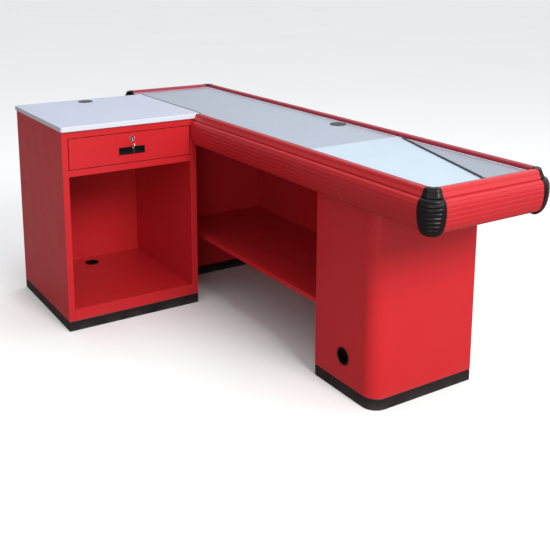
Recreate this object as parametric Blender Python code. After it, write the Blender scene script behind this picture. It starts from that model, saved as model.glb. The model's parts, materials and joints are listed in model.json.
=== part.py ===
"""Checkout counter: a cash cabinet with a lockable drawer beside a long goods deck.

Metres, +Z up.  X runs along the deck, from the cabinet's end to the packing end.
Y runs across it, from the cashier's side to the customer's side.
Sizes are laid out from the deck's left outer end (x = 0) and the worktop's free edge
(y = 0); the empty "counter" then moves that corner so that the whole object is centred.
"""
import math

import bmesh
import bpy
from mathutils import Matrix, Vector

# ---- overall sizes ---------------------------------------------------------------
LENGTH = 2.237            # over the corner caps
WIDTH = 1.098             # from the worktop's free edge to the customer's bumper
HEIGHT = 0.850            # floor to the cabinet's worktop
DECK_WIDTH = 0.418        # goods deck, between the bumpers
DECK_DROP = 0.012         # the deck lies this far below the worktop
GAP = 0.0003              # between pieces that touch
SHEET = 0.0015            # sheet steel

# ---- bumper rail: reach outwards from the deck's edge, heights from the deck's top ----
LIP_RISE = 0.012          # crest above the deck
LIP_IN = 0.021            # start of the crest
LIP_OUT = 0.033           # end of the crest
GROOVE_REACH = 0.042
GROOVE_DROP = 0.014
BARREL_REACH = 0.057
SHOULDER_DROP = 0.022
CURVE_DROP = 0.068        # where the barrel starts to curve in
RAIL_DROP = 0.122         # underside
FOOT_REACH = 0.038        # where the curve meets the underside
RAIL_WALL = 0.0022
RAIL_BACK = 0.0003        # clearance from the deck's edge
RAIL_FLANGE = 0.032
CAP_PROUD = 0.0015
CAP_ARM = 0.003           # straight length of a corner cap along each rail
CAP_STEPS = 6
CAP_HANG = 0.008          # how far a corner cap reaches below the rails

# ---- cabinet -----------------------------------------------------------------------
CABINET_SETBACK = 0.1685  # deck's left outer end to the worktop's back edge
TOP_DEPTH = 0.610
TOP_THICK = 0.020
TOP_SEAM = 0.008          # between the worktop and the deck
TOP_FRONT_OVERHANG = 0.009
TOP_BACK_OVERHANG = 0.016
TOP_LEFT_OVERHANG = 0.003
TOP_RIGHT_OVERHANG = 0.0195
LEFT_SIDE_THICK = 0.025   # double skin side, which is also the front stile
RIGHT_SIDE_THICK = 0.028  # thicker, so that the drawer clears the bumper as it opens
TOP_RAIL = 0.028
BAY_RAIL = 0.026          # rail below the drawer
BAY_HEIGHT = 0.129        # drawer opening
FLANGE = 0.015
FLOOR_LIP = 0.048
FLOOR_STEP = 0.007
CABINET_PLINTH = 0.042
PLINTH_HEIGHT = 0.042     # under the pedestals and the customer panel
PLINTH_THICK = 0.012

# ---- drawer --------------------------------------------------------------------------
DRAWER_GAP = 0.003
DRAWER_FRONT_THICK = 0.018
DRAWER_DEPTH = 0.400
DRAWER_BOX_HEIGHT = 0.072
DRAWER_BOX_LIFT = 0.006
RUNNER_LENGTH = 0.400
RUNNER_HEIGHT = 0.042
RUNNER_LIFT = 0.018
RUNNER_DEPTH = 0.010
RUNNER_PLAY = 0.0006
PULL_WIDTH = 0.114
PULL_HEIGHT = 0.031
PULL_RIM = 0.005
PULL_PROUD = 0.0012
PULL_DEPTH = 0.013
PULL_DROP = 0.073         # pull's centre below the drawer front's top
LOCK_DROP = 0.023         # lock's centre below the drawer front's top

# ---- lock and keys -------------------------------------------------------------------
LOCK_COLLAR = 0.0105
LOCK_BODY = 0.0085
PLUG_RADIUS = 0.0060
COLLAR_PROUD = 0.0025
CAM_LENGTH = 0.034
CAM_WIDTH = 0.010
CAM_THICK = 0.0025
KEY_THICK = 0.0020
KEY_BLADE = 0.0060        # blade width
BOW_WIDTH = 0.0200
BOW_LENGTH = 0.0230
BOW_LIMB = 0.0024
KEY_NECK = 0.0040
SPARE_BLADE_LENGTH = 0.014
RING_RADIUS = 0.0090
RING_WIRE = 0.00075

# ---- deck and its frame ----------------------------------------------------------------
PLATE = 0.0015
BOARD = 0.015
BEAM_WIDTH = 0.025
BEAM_WALL = 0.002
PACKING_LENGTH = 0.630    # seam to the deck's packing end
DIVIDER_PIVOT_ACROSS = 0.222
DIVIDER_PIVOT_INSET = 0.016
DIVIDER_WIDTH = 0.006
DIVIDER_HEIGHT = 0.004
DIVIDER_LIFT = 0.0004
DIVIDER_TIP_INSET = 0.032 # tip, past the seam towards the packing end
PIVOT_RADIUS = 0.0022
PIVOT_BOSS = 0.0060

# ---- pedestals, panels and shelf ---------------------------------------------------------
PEDESTAL_INSET = 0.016    # behind the deck's cashier-side edge
CUSTOMER_INSET = 0.008    # behind the customer-side bumper's face
PANEL_FOLD = 0.068        # its top edge folded in under the deck beam
RIGHT_PEDESTAL_LENGTH = 0.328
RIGHT_PEDESTAL_INSET = 0.2585
RIGHT_CORNER_RADIUS = 0.055
LEFT_PEDESTAL_LENGTH = 0.370
LEFT_PEDESTAL_INSET = 0.050
SHELF_TOP = 0.292
SHELF_LIP = 0.018
SHELF_SETBACK = 0.004
SPACER = 0.040

# ---- cable grommets --------------------------------------------------------------------
GROMMET_HOLE = 0.0300
GROMMET_FLANGE = 0.0330
GROMMET_BORE = 0.0260
GROMMET_PROUD = 0.0020
GROMMET_FIT = 0.0003
CAP_DISC = 0.0030
THIN_GROMMET = 0.010
WORKTOP_GROMMET_FROM_BACK = 0.066
DECK_GROMMET_ALONG = 1.175
DECK_GROMMET_FROM_FAR = 0.042
FLOOR_GROMMET_FROM_BACK = 0.075
PEDESTAL_GROMMET_HEIGHT = 0.141

# ---- places worked out from the sizes above --------------------------------------------------
REACH = BARREL_REACH + CAP_PROUD
DECK_TOP = HEIGHT - DECK_DROP
DECK_X0 = REACH
DECK_X1 = LENGTH - REACH
DECK_Y1 = WIDTH - REACH
DECK_Y0 = DECK_Y1 - DECK_WIDTH
SEAM_X = DECK_X1 - PACKING_LENGTH

TOP_X0 = CABINET_SETBACK
TOP_X1 = TOP_X0 + TOP_DEPTH
TOP_Y1 = DECK_Y0 - TOP_SEAM
TOP_UNDER = HEIGHT - TOP_THICK
TOP_MID = TOP_Y1 / 2
CAB_X0 = TOP_X0 + TOP_BACK_OVERHANG
CAB_X1 = TOP_X1 - TOP_FRONT_OVERHANG
CAB_Y0 = TOP_LEFT_OVERHANG
CAB_Y1 = TOP_Y1 - TOP_RIGHT_OVERHANG
CAB_MID = (CAB_Y0 + CAB_Y1) / 2
CAB_TOP = TOP_UNDER - GAP
CAB_BACK_IN = CAB_X0 + SHEET + GAP
IN_Y0 = CAB_Y0 + LEFT_SIDE_THICK + GAP
IN_Y1 = CAB_Y1 - RIGHT_SIDE_THICK - GAP
CAB_BOTTOM = CABINET_PLINTH + GAP
BODY_BOTTOM = PLINTH_HEIGHT + GAP
BAY_TOP = CAB_TOP - TOP_RAIL
BAY_BOTTOM = BAY_TOP - BAY_HEIGHT
FLOOR_TOP = CABINET_PLINTH + FLOOR_LIP - FLOOR_STEP

DRAWER_Y0 = IN_Y0 + DRAWER_GAP
DRAWER_Y1 = IN_Y1 - DRAWER_GAP
DRAWER_Z0 = BAY_BOTTOM + DRAWER_GAP
DRAWER_Z1 = BAY_TOP - DRAWER_GAP
DRAWER_BACK_OF_FRONT = CAB_X1 - DRAWER_FRONT_THICK
BOX_X1 = DRAWER_BACK_OF_FRONT - GAP
BOX_X0 = BOX_X1 - DRAWER_DEPTH
BOX_Z0 = DRAWER_Z0 + DRAWER_BOX_LIFT
LOCK_Z = DRAWER_Z1 - LOCK_DROP
PULL_Z = DRAWER_Z1 - PULL_DROP

BOARD_TOP = DECK_TOP - PLATE - GAP
BEAM_TOP = BOARD_TOP - BOARD - GAP
BEAM_BOTTOM = DECK_TOP - RAIL_DROP - CAP_PROUD
PED_TOP = BEAM_BOTTOM - GAP
PED_Y0 = DECK_Y0 + PEDESTAL_INSET
PANEL_Y1 = WIDTH - CAP_PROUD - CUSTOMER_INSET
PED_Y1 = PANEL_Y1 - SHEET - GAP
RIGHT_X1 = DECK_X1 - RIGHT_PEDESTAL_INSET
RIGHT_X0 = RIGHT_X1 - RIGHT_PEDESTAL_LENGTH
LEFT_X0 = DECK_X0 + LEFT_PEDESTAL_INSET
LEFT_X1 = LEFT_X0 + LEFT_PEDESTAL_LENGTH

for old in list(bpy.data.objects):
    bpy.data.objects.remove(old, do_unlink=True)


# ---- materials -----------------------------------------------------------------------------
def finish_of(name, colour, roughness, metallic=0.0):
    material = bpy.data.materials.new(name)
    material.use_nodes = True
    shader = material.node_tree.nodes["Principled BSDF"]
    shader.inputs["Base Color"].default_value = (*colour, 1.0)
    shader.inputs["Roughness"].default_value = roughness
    shader.inputs["Metallic"].default_value = metallic
    material.diffuse_color = (*colour, 1.0)
    return material


RED_PAINT = finish_of("red_paint", (0.58, 0.022, 0.026), 0.35)
RED_BUMPER = finish_of("red_bumper", (0.62, 0.030, 0.035), 0.45)
BLACK_PLASTIC = finish_of("black_plastic", (0.012, 0.012, 0.013), 0.45)
BLACK_PLINTH = finish_of("black_plinth", (0.010, 0.010, 0.011), 0.55)
LAMINATE = finish_of("pale_laminate", (0.60, 0.64, 0.76), 0.40)
DECK_STEEL = finish_of("deck_steel", (0.48, 0.54, 0.64), 0.38, 0.6)
BRIGHT_STEEL = finish_of("bright_steel", (0.66, 0.74, 0.84), 0.30, 0.6)
FRAME_STEEL = finish_of("frame_steel", (0.10, 0.10, 0.11), 0.60, 0.4)
ZINC_STEEL = finish_of("zinc_steel", (0.52, 0.53, 0.54), 0.35, 0.9)
CHROME = finish_of("chrome", (0.75, 0.75, 0.76), 0.12, 1.0)
CHIPBOARD = finish_of("board", (0.42, 0.31, 0.20), 0.80)


# ---- frame empties ---------------------------------------------------------------------------
def empty_at(name, place, parent=None):
    """An empty whose place is given in the layout's own coordinates."""
    marker = bpy.data.objects.new(name, None)
    bpy.context.scene.collection.objects.link(marker)
    marker.parent = parent
    marker["place"] = tuple(place)
    origin = Vector(parent["place"]) if parent else Vector((LENGTH / 2, WIDTH / 2, 0.0))
    marker.location = Vector(place) - origin
    return marker


COUNTER = empty_at("counter", (0.0, 0.0, 0.0))
DRAWER = empty_at("drawer_slide_axis", (CAB_X1, CAB_MID, LOCK_Z), COUNTER)


# ---- mesh helpers ------------------------------------------------------------------------------
def add_piece(name, bm, material, parent=None):
    """Turn bm, drawn in the layout's coordinates, into one object under its parent."""
    parent = parent or COUNTER
    bmesh.ops.remove_doubles(bm, verts=bm.verts, dist=1e-6)
    bmesh.ops.recalc_face_normals(bm, faces=bm.faces)
    bmesh.ops.translate(bm, verts=bm.verts, vec=-Vector(parent["place"]))
    mesh = bpy.data.meshes.new(name)
    bm.to_mesh(mesh)
    bm.free()
    mesh.materials.append(material)
    mesh.shade_smooth()
    mesh.set_sharp_from_angle(angle=math.radians(30))
    piece = bpy.data.objects.new(name, mesh)
    bpy.context.scene.collection.objects.link(piece)
    piece.parent = parent
    return piece


def block(bm, low, high):
    """A plain box between two corners."""
    centre = (Vector(low) + Vector(high)) / 2
    size = Vector(high) - Vector(low)
    matrix = Matrix.Translation(centre) @ Matrix.Diagonal((*size, 1.0))
    bmesh.ops.create_cube(bm, size=1.0, matrix=matrix)


def along(axis, pair, distance):
    """A point from its two coordinates in a section and its distance along that axis."""
    first, second = pair
    return {"X": Vector((distance, first, second)),
            "Y": Vector((first, distance, second)),
            "Z": Vector((first, second, distance))}[axis]


def loft(bm, loops, closed=False):
    """Join loops of equal length by quads; open lofts get end faces."""
    rings = [[bm.verts.new(point) for point in loop] for loop in loops]
    pairs = list(zip(rings, rings[1:]))
    if closed:
        pairs.append((rings[-1], rings[0]))
    for near, far in pairs:
        for k in range(len(near)):
            nxt = (k + 1) % len(near)
            bm.faces.new((near[k], near[nxt], far[nxt], far[k]))
    if not closed:
        bm.faces.new(rings[0])
        bm.faces.new(rings[-1])


def prism(bm, outline, axis, start, end):
    """An outline extruded along an axis."""
    loft(bm, [[along(axis, pair, at) for pair in outline] for at in (start, end)])


def square_tube(bm, axis, low, high, start, end, wall):
    """A rectangular tube with open ends, its section between the corners low and high."""
    loops = []
    for at, inset in ((start, 0.0), (end, 0.0), (end, wall), (start, wall)):
        (a0, b0), (a1, b1) = low, high
        corners = ((a0 + inset, b0 + inset), (a1 - inset, b0 + inset),
                   (a1 - inset, b1 - inset), (a0 + inset, b1 - inset))
        loops.append([along(axis, pair, at) for pair in corners])
    loft(bm, loops, closed=True)


def turned(bm, profile, axis, centre, segments=32):
    """A closed profile of (radius, distance) points turned about an axis through centre."""
    loops = []
    for step in range(segments):
        angle = 2 * math.pi * step / segments
        loops.append([Vector(centre) + along(axis, (r * math.cos(angle), r * math.sin(angle)), d)
                      for r, d in profile])
    loft(bm, loops, closed=True)


def arc(centre, radius, start, end, steps):
    """Points on a circular arc; the angles are in degrees."""
    points = []
    for step in range(steps + 1):
        angle = math.radians(start + (end - start) * step / steps)
        points.append((centre[0] + radius * math.cos(angle), centre[1] + radius * math.sin(angle)))
    return points


def folded(path, thickness):
    """Closed outline of a folded sheet: path is one face, the thickness lies to its right."""
    other = []
    for k, point in enumerate(path):
        sides = []
        for a, b in ((k - 1, k), (k, k + 1)):
            if 0 <= a and b < len(path):
                run = (Vector(path[b]) - Vector(path[a])).normalized()
                sides.append(Vector((run.y, -run.x)))
        middle = sum(sides, Vector((0.0, 0.0))).normalized()
        other.append(tuple(Vector(point) + middle * thickness / middle.dot(sides[0])))
    return list(path) + other[::-1]


def cutter(name, bm, target):
    """A hidden tool cut from target by an exact Boolean."""
    tool = add_piece(name, bm, BLACK_PLASTIC, target.parent)
    tool.hide_render = True
    tool.display_type = "WIRE"
    cut = target.modifiers.new(name, "BOOLEAN")
    cut.operation = "DIFFERENCE"
    cut.solver = "EXACT"
    cut.object = tool
    return tool


def drill(target, axis, centre, radius, depth, segments=32):
    """A round hole through target, depth long and centred on centre."""
    bm = bmesh.new()
    turned(bm, [(0.0, -depth / 2), (radius, -depth / 2), (radius, depth / 2), (0.0, depth / 2)],
           axis, centre, segments)
    cutter(target.name + "_hole", bm, target)


def grommet(name, axis, face, outward, length, capped):
    """A flanged liner in a round hole; face is the hole's centre on the visible surface."""
    bm = bmesh.new()
    flange = outward * GROMMET_PROUD
    turned(bm, [(GROMMET_BORE, flange), (GROMMET_FLANGE, flange), (GROMMET_FLANGE, outward * GAP),
                (GROMMET_HOLE - GROMMET_FIT, outward * GAP),
                (GROMMET_HOLE - GROMMET_FIT, -outward * length), (GROMMET_BORE, -outward * length)],
           axis, face)
    add_piece(name, bm, BLACK_PLASTIC)
    if capped:
        bm = bmesh.new()
        radius = GROMMET_BORE - GROMMET_FIT
        turned(bm, [(0.0, flange), (radius, flange), (radius, flange - outward * CAP_DISC),
                    (0.0, flange - outward * CAP_DISC)], axis, face)
        add_piece(name + "_cap", bm, BLACK_PLASTIC)


# ---- cash cabinet ----------------------------------------------------------------------------------
def build_cabinet():
    bm = bmesh.new()
    block(bm, (TOP_X0, 0.0, TOP_UNDER), (TOP_X1, TOP_Y1, HEIGHT))
    worktop = add_piece("cabinet_worktop", bm, LAMINATE)
    hole = (TOP_X0 + WORKTOP_GROMMET_FROM_BACK, TOP_MID, HEIGHT)
    drill(worktop, "Z", hole, GROMMET_HOLE, 3 * TOP_THICK)
    grommet("worktop_grommet", "Z", hole, 1, TOP_THICK, capped=True)

    for name, outer, inner, inward in (("cabinet_left_side", CAB_Y0, CAB_Y0 + LEFT_SIDE_THICK, 1),
                                       ("cabinet_right_side", CAB_Y1, CAB_Y1 - RIGHT_SIDE_THICK, -1)):
        path = [(CAB_BACK_IN, outer), (CAB_X1, outer), (CAB_X1, inner), (CAB_BACK_IN, inner)]
        bm = bmesh.new()
        prism(bm, folded(path if inward < 0 else path[::-1], SHEET), "Z", CAB_BOTTOM, CAB_TOP)
        add_piece(name, bm, RED_PAINT)

    bm = bmesh.new()
    block(bm, (CAB_X0, CAB_Y0, CAB_BOTTOM), (CAB_X0 + SHEET, CAB_Y1, CAB_TOP))
    add_piece("cabinet_back", bm, RED_PAINT)

    bm = bmesh.new()
    path = [(CAB_X1 - FLANGE, CAB_TOP), (CAB_X1, CAB_TOP), (CAB_X1, BAY_TOP), (CAB_X1 - FLANGE, BAY_TOP)]
    prism(bm, folded(path, SHEET), "Y", IN_Y0, IN_Y1)
    add_piece("cabinet_top_rail", bm, RED_PAINT)

    bm = bmesh.new()
    path = [(CAB_BACK_IN, CAB_TOP - TOP_RAIL), (CAB_BACK_IN, CAB_TOP), (CAB_BACK_IN + 2 * FLANGE, CAB_TOP)]
    prism(bm, folded(path, SHEET), "Y", IN_Y0, IN_Y1)
    add_piece("cabinet_rear_rail", bm, RED_PAINT)

    bm = bmesh.new()
    rail_bottom = BAY_BOTTOM - BAY_RAIL
    path = [(CAB_BACK_IN, BAY_BOTTOM), (CAB_X1, BAY_BOTTOM), (CAB_X1, rail_bottom),
            (CAB_X1 - FLANGE, rail_bottom)]
    prism(bm, folded(path, SHEET), "Y", IN_Y0, IN_Y1)
    add_piece("drawer_bay_floor", bm, RED_PAINT)

    bm = bmesh.new()
    lip_top = CABINET_PLINTH + FLOOR_LIP
    step_x = CAB_X1 - FLOOR_STEP
    path = [(CAB_BACK_IN, FLOOR_TOP), (step_x, FLOOR_TOP), (step_x, lip_top), (CAB_X1, lip_top),
            (CAB_X1, CAB_BOTTOM), (CAB_X1 - FLANGE, CAB_BOTTOM)]
    prism(bm, folded(path, SHEET), "Y", IN_Y0, IN_Y1)
    floor = add_piece("cabinet_floor", bm, RED_PAINT)
    hole = (CAB_X0 + FLOOR_GROMMET_FROM_BACK, CAB_MID, FLOOR_TOP)
    drill(floor, "Z", hole, GROMMET_HOLE, 4 * THIN_GROMMET)
    grommet("floor_grommet", "Z", hole, 1, THIN_GROMMET, capped=False)

    bm = bmesh.new()
    path = [(CAB_X1 - PLINTH_THICK - GAP, CAB_Y0), (CAB_X0, CAB_Y0), (CAB_X0, CAB_Y1),
            (CAB_X1 - PLINTH_THICK - GAP, CAB_Y1)]
    prism(bm, folded(path, PLINTH_THICK), "Z", 0.0, CABINET_PLINTH)
    add_piece("cabinet_plinth_wrap", bm, BLACK_PLINTH)
    bm = bmesh.new()
    block(bm, (CAB_X1 - PLINTH_THICK, CAB_Y0, 0.0), (CAB_X1, CAB_Y1, CABINET_PLINTH))
    add_piece("cabinet_plinth_front", bm, BLACK_PLINTH)


# ---- drawer on its two runners -------------------------------------------------------------------------
def build_drawer():
    bm = bmesh.new()
    outer = [(DRAWER_Y0, DRAWER_Z0), (DRAWER_Y1, DRAWER_Z0), (DRAWER_Y1, DRAWER_Z1), (DRAWER_Y0, DRAWER_Z1)]
    prism(bm, outer, "X", DRAWER_BACK_OF_FRONT, CAB_X1)
    front = add_piece("drawer_front", bm, RED_PAINT, DRAWER)
    bm = bmesh.new()
    block(bm, (DRAWER_BACK_OF_FRONT - SHEET, DRAWER_Y0 + SHEET, DRAWER_Z0 + SHEET),
          (CAB_X1 - SHEET, DRAWER_Y1 - SHEET, DRAWER_Z1 - SHEET))
    cutter("drawer_front_hollow", bm, front)
    bm = bmesh.new()
    half = PULL_WIDTH / 2 - PULL_RIM + GAP
    high = PULL_HEIGHT / 2 - PULL_RIM + GAP
    block(bm, (CAB_X1 - PULL_DEPTH, CAB_MID - half, PULL_Z - high),
          (CAB_X1 + PULL_DEPTH, CAB_MID + half, PULL_Z + high))
    cutter("drawer_front_slot", bm, front)
    drill(front, "X", (CAB_X1, CAB_MID, LOCK_Z), LOCK_BODY + GAP, 3 * SHEET)

    bm = bmesh.new()
    face = CAB_X1 + PULL_PROUD
    half = PULL_WIDTH / 2
    high = PULL_HEIGHT / 2
    wall = SHEET
    steps = ((face, PULL_RIM + wall), (face, 0.0), (CAB_X1 + GAP, 0.0), (CAB_X1 + GAP, PULL_RIM),
             (CAB_X1 - PULL_DEPTH, PULL_RIM))
    loops = []
    for x, inset in steps:
        loops.append([Vector((x, CAB_MID + sy * (half - inset), PULL_Z + sz * (high - inset)))
                      for sy, sz in ((-1, -1), (1, -1), (1, 1), (-1, 1))])
    inset = PULL_RIM + wall
    loops.append([Vector((CAB_X1 - PULL_DEPTH, CAB_MID + sy * (half - inset), PULL_Z + sz * (high - inset)))
                  for sy, sz in ((-1, -1), (1, -1), (1, 1), (-1, 1))])
    floor = [Vector((CAB_X1 - PULL_DEPTH + wall, p.y, p.z)) for p in loops[-1]]
    rings = [[bm.verts.new(point) for point in loop] for loop in loops[:-1] + [floor]]
    order = list(range(len(rings)))
    for a, b in zip(order[:-2], order[1:-1]):
        for k in range(4):
            nxt = (k + 1) % 4
            bm.faces.new((rings[a][k], rings[a][nxt], rings[b][nxt], rings[b][k]))
    bm.faces.new(rings[-2])
    for k in range(4):
        nxt = (k + 1) % 4
        bm.faces.new((rings[0][k], rings[0][nxt], rings[-1][nxt], rings[-1][k]))
    bm.faces.new(rings[-1])
    add_piece("drawer_pull", bm, BLACK_PLASTIC, DRAWER)

    side = SHEET + RUNNER_DEPTH + 4 * RUNNER_PLAY
    box_y0 = IN_Y0 + side
    box_y1 = IN_Y1 - side
    bm = bmesh.new()
    block(bm, (BOX_X0, box_y0, BOX_Z0), (BOX_X1, box_y1, BOX_Z0 + DRAWER_BOX_HEIGHT))
    tray = add_piece("drawer_box", bm, ZINC_STEEL, DRAWER)
    bm = bmesh.new()
    block(bm, (BOX_X0 + SHEET, box_y0 + SHEET, BOX_Z0 + SHEET),
          (BOX_X1 - SHEET, box_y1 - SHEET, BOX_Z0 + 2 * DRAWER_BOX_HEIGHT))
    cutter("drawer_box_hollow", bm, tray)

    low = BOX_Z0 + RUNNER_LIFT
    high = low + RUNNER_HEIGHT
    for word, wall_y, inward, box_y in (("left", IN_Y0, 1, box_y0), ("right", IN_Y1, -1, box_y1)):
        flange = wall_y + inward * RUNNER_DEPTH
        path = [(flange, low), (wall_y, low), (wall_y, high), (flange, high)]
        bm = bmesh.new()
        prism(bm, folded(path if inward > 0 else path[::-1], SHEET), "X", BOX_X1 - RUNNER_LENGTH, BOX_X1)
        add_piece("drawer_runner_" + word, bm, ZINC_STEEL)
        bm = bmesh.new()
        inner = wall_y + inward * (SHEET + RUNNER_PLAY)
        outer = box_y - inward * GAP
        play = SHEET + RUNNER_PLAY
        block(bm, (BOX_X0, min(inner, outer), low + play), (BOX_X1, max(inner, outer), high - play))
        add_piece("drawer_slide_bar_" + word, bm, ZINC_STEEL, DRAWER)


# ---- lock, key in the lock, and the spare key on its ring ---------------------------------------------------
def bow_and_blade(bm, axis_point, forward, blade_length):
    """A flat key in the XZ plane: a loop bow that starts at axis_point, then neck and blade.

    forward is +1 for the blade running towards -X and "down" for a key that hangs.
    """
    hanging = forward == "down"
    radius = BOW_WIDTH / 2
    straight = BOW_LENGTH - BOW_WIDTH

    def to_world(along_key, across, y):
        if hanging:
            return Vector((axis_point[0] + across, y, axis_point[2] - along_key))
        return Vector((axis_point[0] - along_key, y, axis_point[2] + across))

    def oval(inset):
        """The loop's outline, straight limbs across the middle and round ends."""
        size = radius - inset
        left = arc((radius, 0.0), size, 90, 270, 8)
        right = arc((radius + straight, 0.0), size, -90, 90, 8)
        return left + right

    loops = []
    for y, inset in ((-1, 0.0), (1, 0.0), (1, BOW_LIMB), (-1, BOW_LIMB)):
        loops.append([to_world(a, b, axis_point[1] + y * KEY_THICK / 2) for a, b in oval(inset)])
    loft(bm, loops, closed=True)
    blade = bmesh.new()
    start = BOW_LENGTH - BOW_LIMB / 2
    half = KEY_BLADE / 2
    outline = [(start, -half), (start + KEY_NECK + blade_length, -half),
               (start + KEY_NECK + blade_length + half, 0.0),
               (start + KEY_NECK + blade_length, half), (start, half)]
    loft(blade, [[to_world(a, b, axis_point[1] + y * KEY_THICK / 2) for a, b in outline] for y in (-1, 1)])
    return blade


def union(target, name, bm, material):
    """Weld a second body onto target by an exact Boolean."""
    tool = add_piece(name, bm, material, target.parent)
    tool.hide_render = True
    tool.display_type = "WIRE"
    weld = target.modifiers.new(name, "BOOLEAN")
    weld.operation = "UNION"
    weld.solver = "EXACT"
    weld.object = tool


def build_lock():
    axis = (CAB_X1, CAB_MID, LOCK_Z)
    back = -DRAWER_FRONT_THICK
    bore = PLUG_RADIUS + GROMMET_FIT
    bm = bmesh.new()
    turned(bm, [(bore, COLLAR_PROUD), (LOCK_COLLAR, COLLAR_PROUD), (LOCK_COLLAR, GAP), (LOCK_BODY, GAP),
                (LOCK_BODY, back), (bore, back)], "X", axis)
    add_piece("lock_barrel", bm, CHROME, DRAWER)

    turning = empty_at("lock_axis", axis, DRAWER)
    bm = bmesh.new()
    turned(bm, [(0.0, COLLAR_PROUD), (PLUG_RADIUS, COLLAR_PROUD), (PLUG_RADIUS, back), (0.0, back)],
           "X", axis)
    plug = add_piece("lock_plug", bm, CHROME, turning)
    slot_depth = 0.6 * DRAWER_FRONT_THICK
    bm = bmesh.new()
    block(bm, (CAB_X1 - slot_depth, axis[1] - KEY_THICK / 2 - GAP, LOCK_Z - KEY_BLADE / 2 - GAP),
          (CAB_X1 + 2 * COLLAR_PROUD, axis[1] + KEY_THICK / 2 + GAP, LOCK_Z + KEY_BLADE / 2 + GAP))
    cutter("lock_plug_keyway", bm, plug)

    bm = bmesh.new()
    cam_front = CAB_X1 + back - GAP
    block(bm, (cam_front - CAM_THICK, axis[1] - CAM_WIDTH / 2, LOCK_Z - CAM_WIDTH / 2),
          (cam_front, axis[1] + CAM_LENGTH, LOCK_Z + CAM_WIDTH / 2))
    add_piece("lock_cam", bm, ZINC_STEEL, turning)

    collar_face = CAB_X1 + COLLAR_PROUD
    bow_tip = collar_face + KEY_NECK + BOW_LENGTH
    bm = bmesh.new()
    blade = bow_and_blade(bm, (bow_tip, axis[1], LOCK_Z), "in", 0.35 * DRAWER_FRONT_THICK)
    key = add_piece("key", bm, CHROME, turning)
    union(key, "key_blade", blade, CHROME)

    limb_z = LOCK_Z - BOW_WIDTH / 2 + BOW_LIMB / 2
    ring_x = bow_tip - BOW_LENGTH / 2
    hanging = empty_at("key_ring_axis", (ring_x, axis[1], limb_z), turning)
    rest = RING_WIRE + math.hypot(KEY_THICK, BOW_LIMB) / 2 + GAP     # clears the limb's corners at any swing
    ring_z = limb_z + rest - RING_RADIUS
    bm = bmesh.new()
    loops = []
    for step in range(28):
        angle = 2 * math.pi * step / 28
        middle = Vector((ring_x, axis[1] + RING_RADIUS * math.sin(angle), ring_z + RING_RADIUS * math.cos(angle)))
        out = Vector((0.0, math.sin(angle), math.cos(angle)))
        loops.append([middle + out * a + Vector((b, 0.0, 0.0))
                      for a, b in arc((0.0, 0.0), RING_WIRE, 0, 315, 7)])
    loft(bm, loops, closed=True)
    add_piece("key_ring", bm, CHROME, hanging)

    spare_top = ring_z - RING_RADIUS + RING_WIRE + GAP + BOW_LIMB
    bm = bmesh.new()
    blade = bow_and_blade(bm, (ring_x, axis[1], spare_top), "down", SPARE_BLADE_LENGTH)
    spare = add_piece("spare_key", bm, CHROME, hanging)
    union(spare, "spare_key_blade", blade, CHROME)


# ---- bumper rails and corner caps ---------------------------------------------------------------------------
def rail_path(proud=0.0, hang=0.0):
    """Outer face of the bumper as (reach, height), from its upper flange round to the lower one."""
    foot = RAIL_DROP + hang
    curve = []
    for step in range(1, 6):
        angle = math.radians(90 * step / 5)
        curve.append((FOOT_REACH + (BARREL_REACH - FOOT_REACH) * math.cos(angle) + proud * math.cos(angle),
                      DECK_TOP - CURVE_DROP - (foot - CURVE_DROP + proud) * math.sin(angle)))
    lower = DECK_TOP - foot - proud
    return [(RAIL_BACK, DECK_TOP - RAIL_FLANGE), (RAIL_BACK, DECK_TOP + GAP),
            (LIP_IN, DECK_TOP + LIP_RISE + proud), (LIP_OUT, DECK_TOP + LIP_RISE + proud),
            (GROOVE_REACH + proud, DECK_TOP - GROOVE_DROP), (BARREL_REACH + proud, DECK_TOP - SHOULDER_DROP),
            (BARREL_REACH + proud, DECK_TOP - CURVE_DROP)] + curve + [
            (RAIL_BACK, lower), (RAIL_BACK, lower + RAIL_FLANGE)]


def build_bumpers():
    outline = folded(rail_path(), RAIL_WALL)
    arm = CAP_ARM + GAP
    rails = (("near_rail", "X", DECK_Y0, -1, TOP_X1 + GAP, DECK_X1 - arm),
             ("far_rail", "X", DECK_Y1, 1, DECK_X0 + arm, DECK_X1 - arm),
             ("packing_end_rail", "Y", DECK_X1, 1, DECK_Y0 + arm, DECK_Y1 - arm),
             ("cabinet_end_rail", "Y", DECK_X0, -1, DECK_Y0 + arm, DECK_Y1 - arm))
    for name, axis, edge, outward, start, end in rails:
        bm = bmesh.new()
        prism(bm, [(edge + outward * reach, z) for reach, z in outline], axis, start, end)
        add_piece(name, bm, RED_BUMPER)

    cap_outline = folded(rail_path(CAP_PROUD, CAP_HANG), RAIL_WALL + CAP_PROUD)
    for name, x, y, dx, dy in (("corner_cap_near_packing", DECK_X1, DECK_Y0, 1, -1),
                               ("corner_cap_far_packing", DECK_X1, DECK_Y1, 1, 1),
                               ("corner_cap_near_cabinet", DECK_X0, DECK_Y0, -1, -1),
                               ("corner_cap_far_cabinet", DECK_X0, DECK_Y1, -1, 1)):
        stations = [(x - dx * CAP_ARM, y, 0.0)]
        stations += [(x, y, 90.0 * step / CAP_STEPS) for step in range(CAP_STEPS + 1)]
        stations += [(x, y - dy * CAP_ARM, 90.0)]
        loops = []
        for sx, sy, turn in stations:
            out_x = dx * math.sin(math.radians(turn))
            out_y = dy * math.cos(math.radians(turn))
            loops.append([Vector((sx + out_x * reach, sy + out_y * reach, z)) for reach, z in cap_outline])
        bm = bmesh.new()
        loft(bm, loops)
        add_piece(name, bm, BLACK_PLASTIC)


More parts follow.
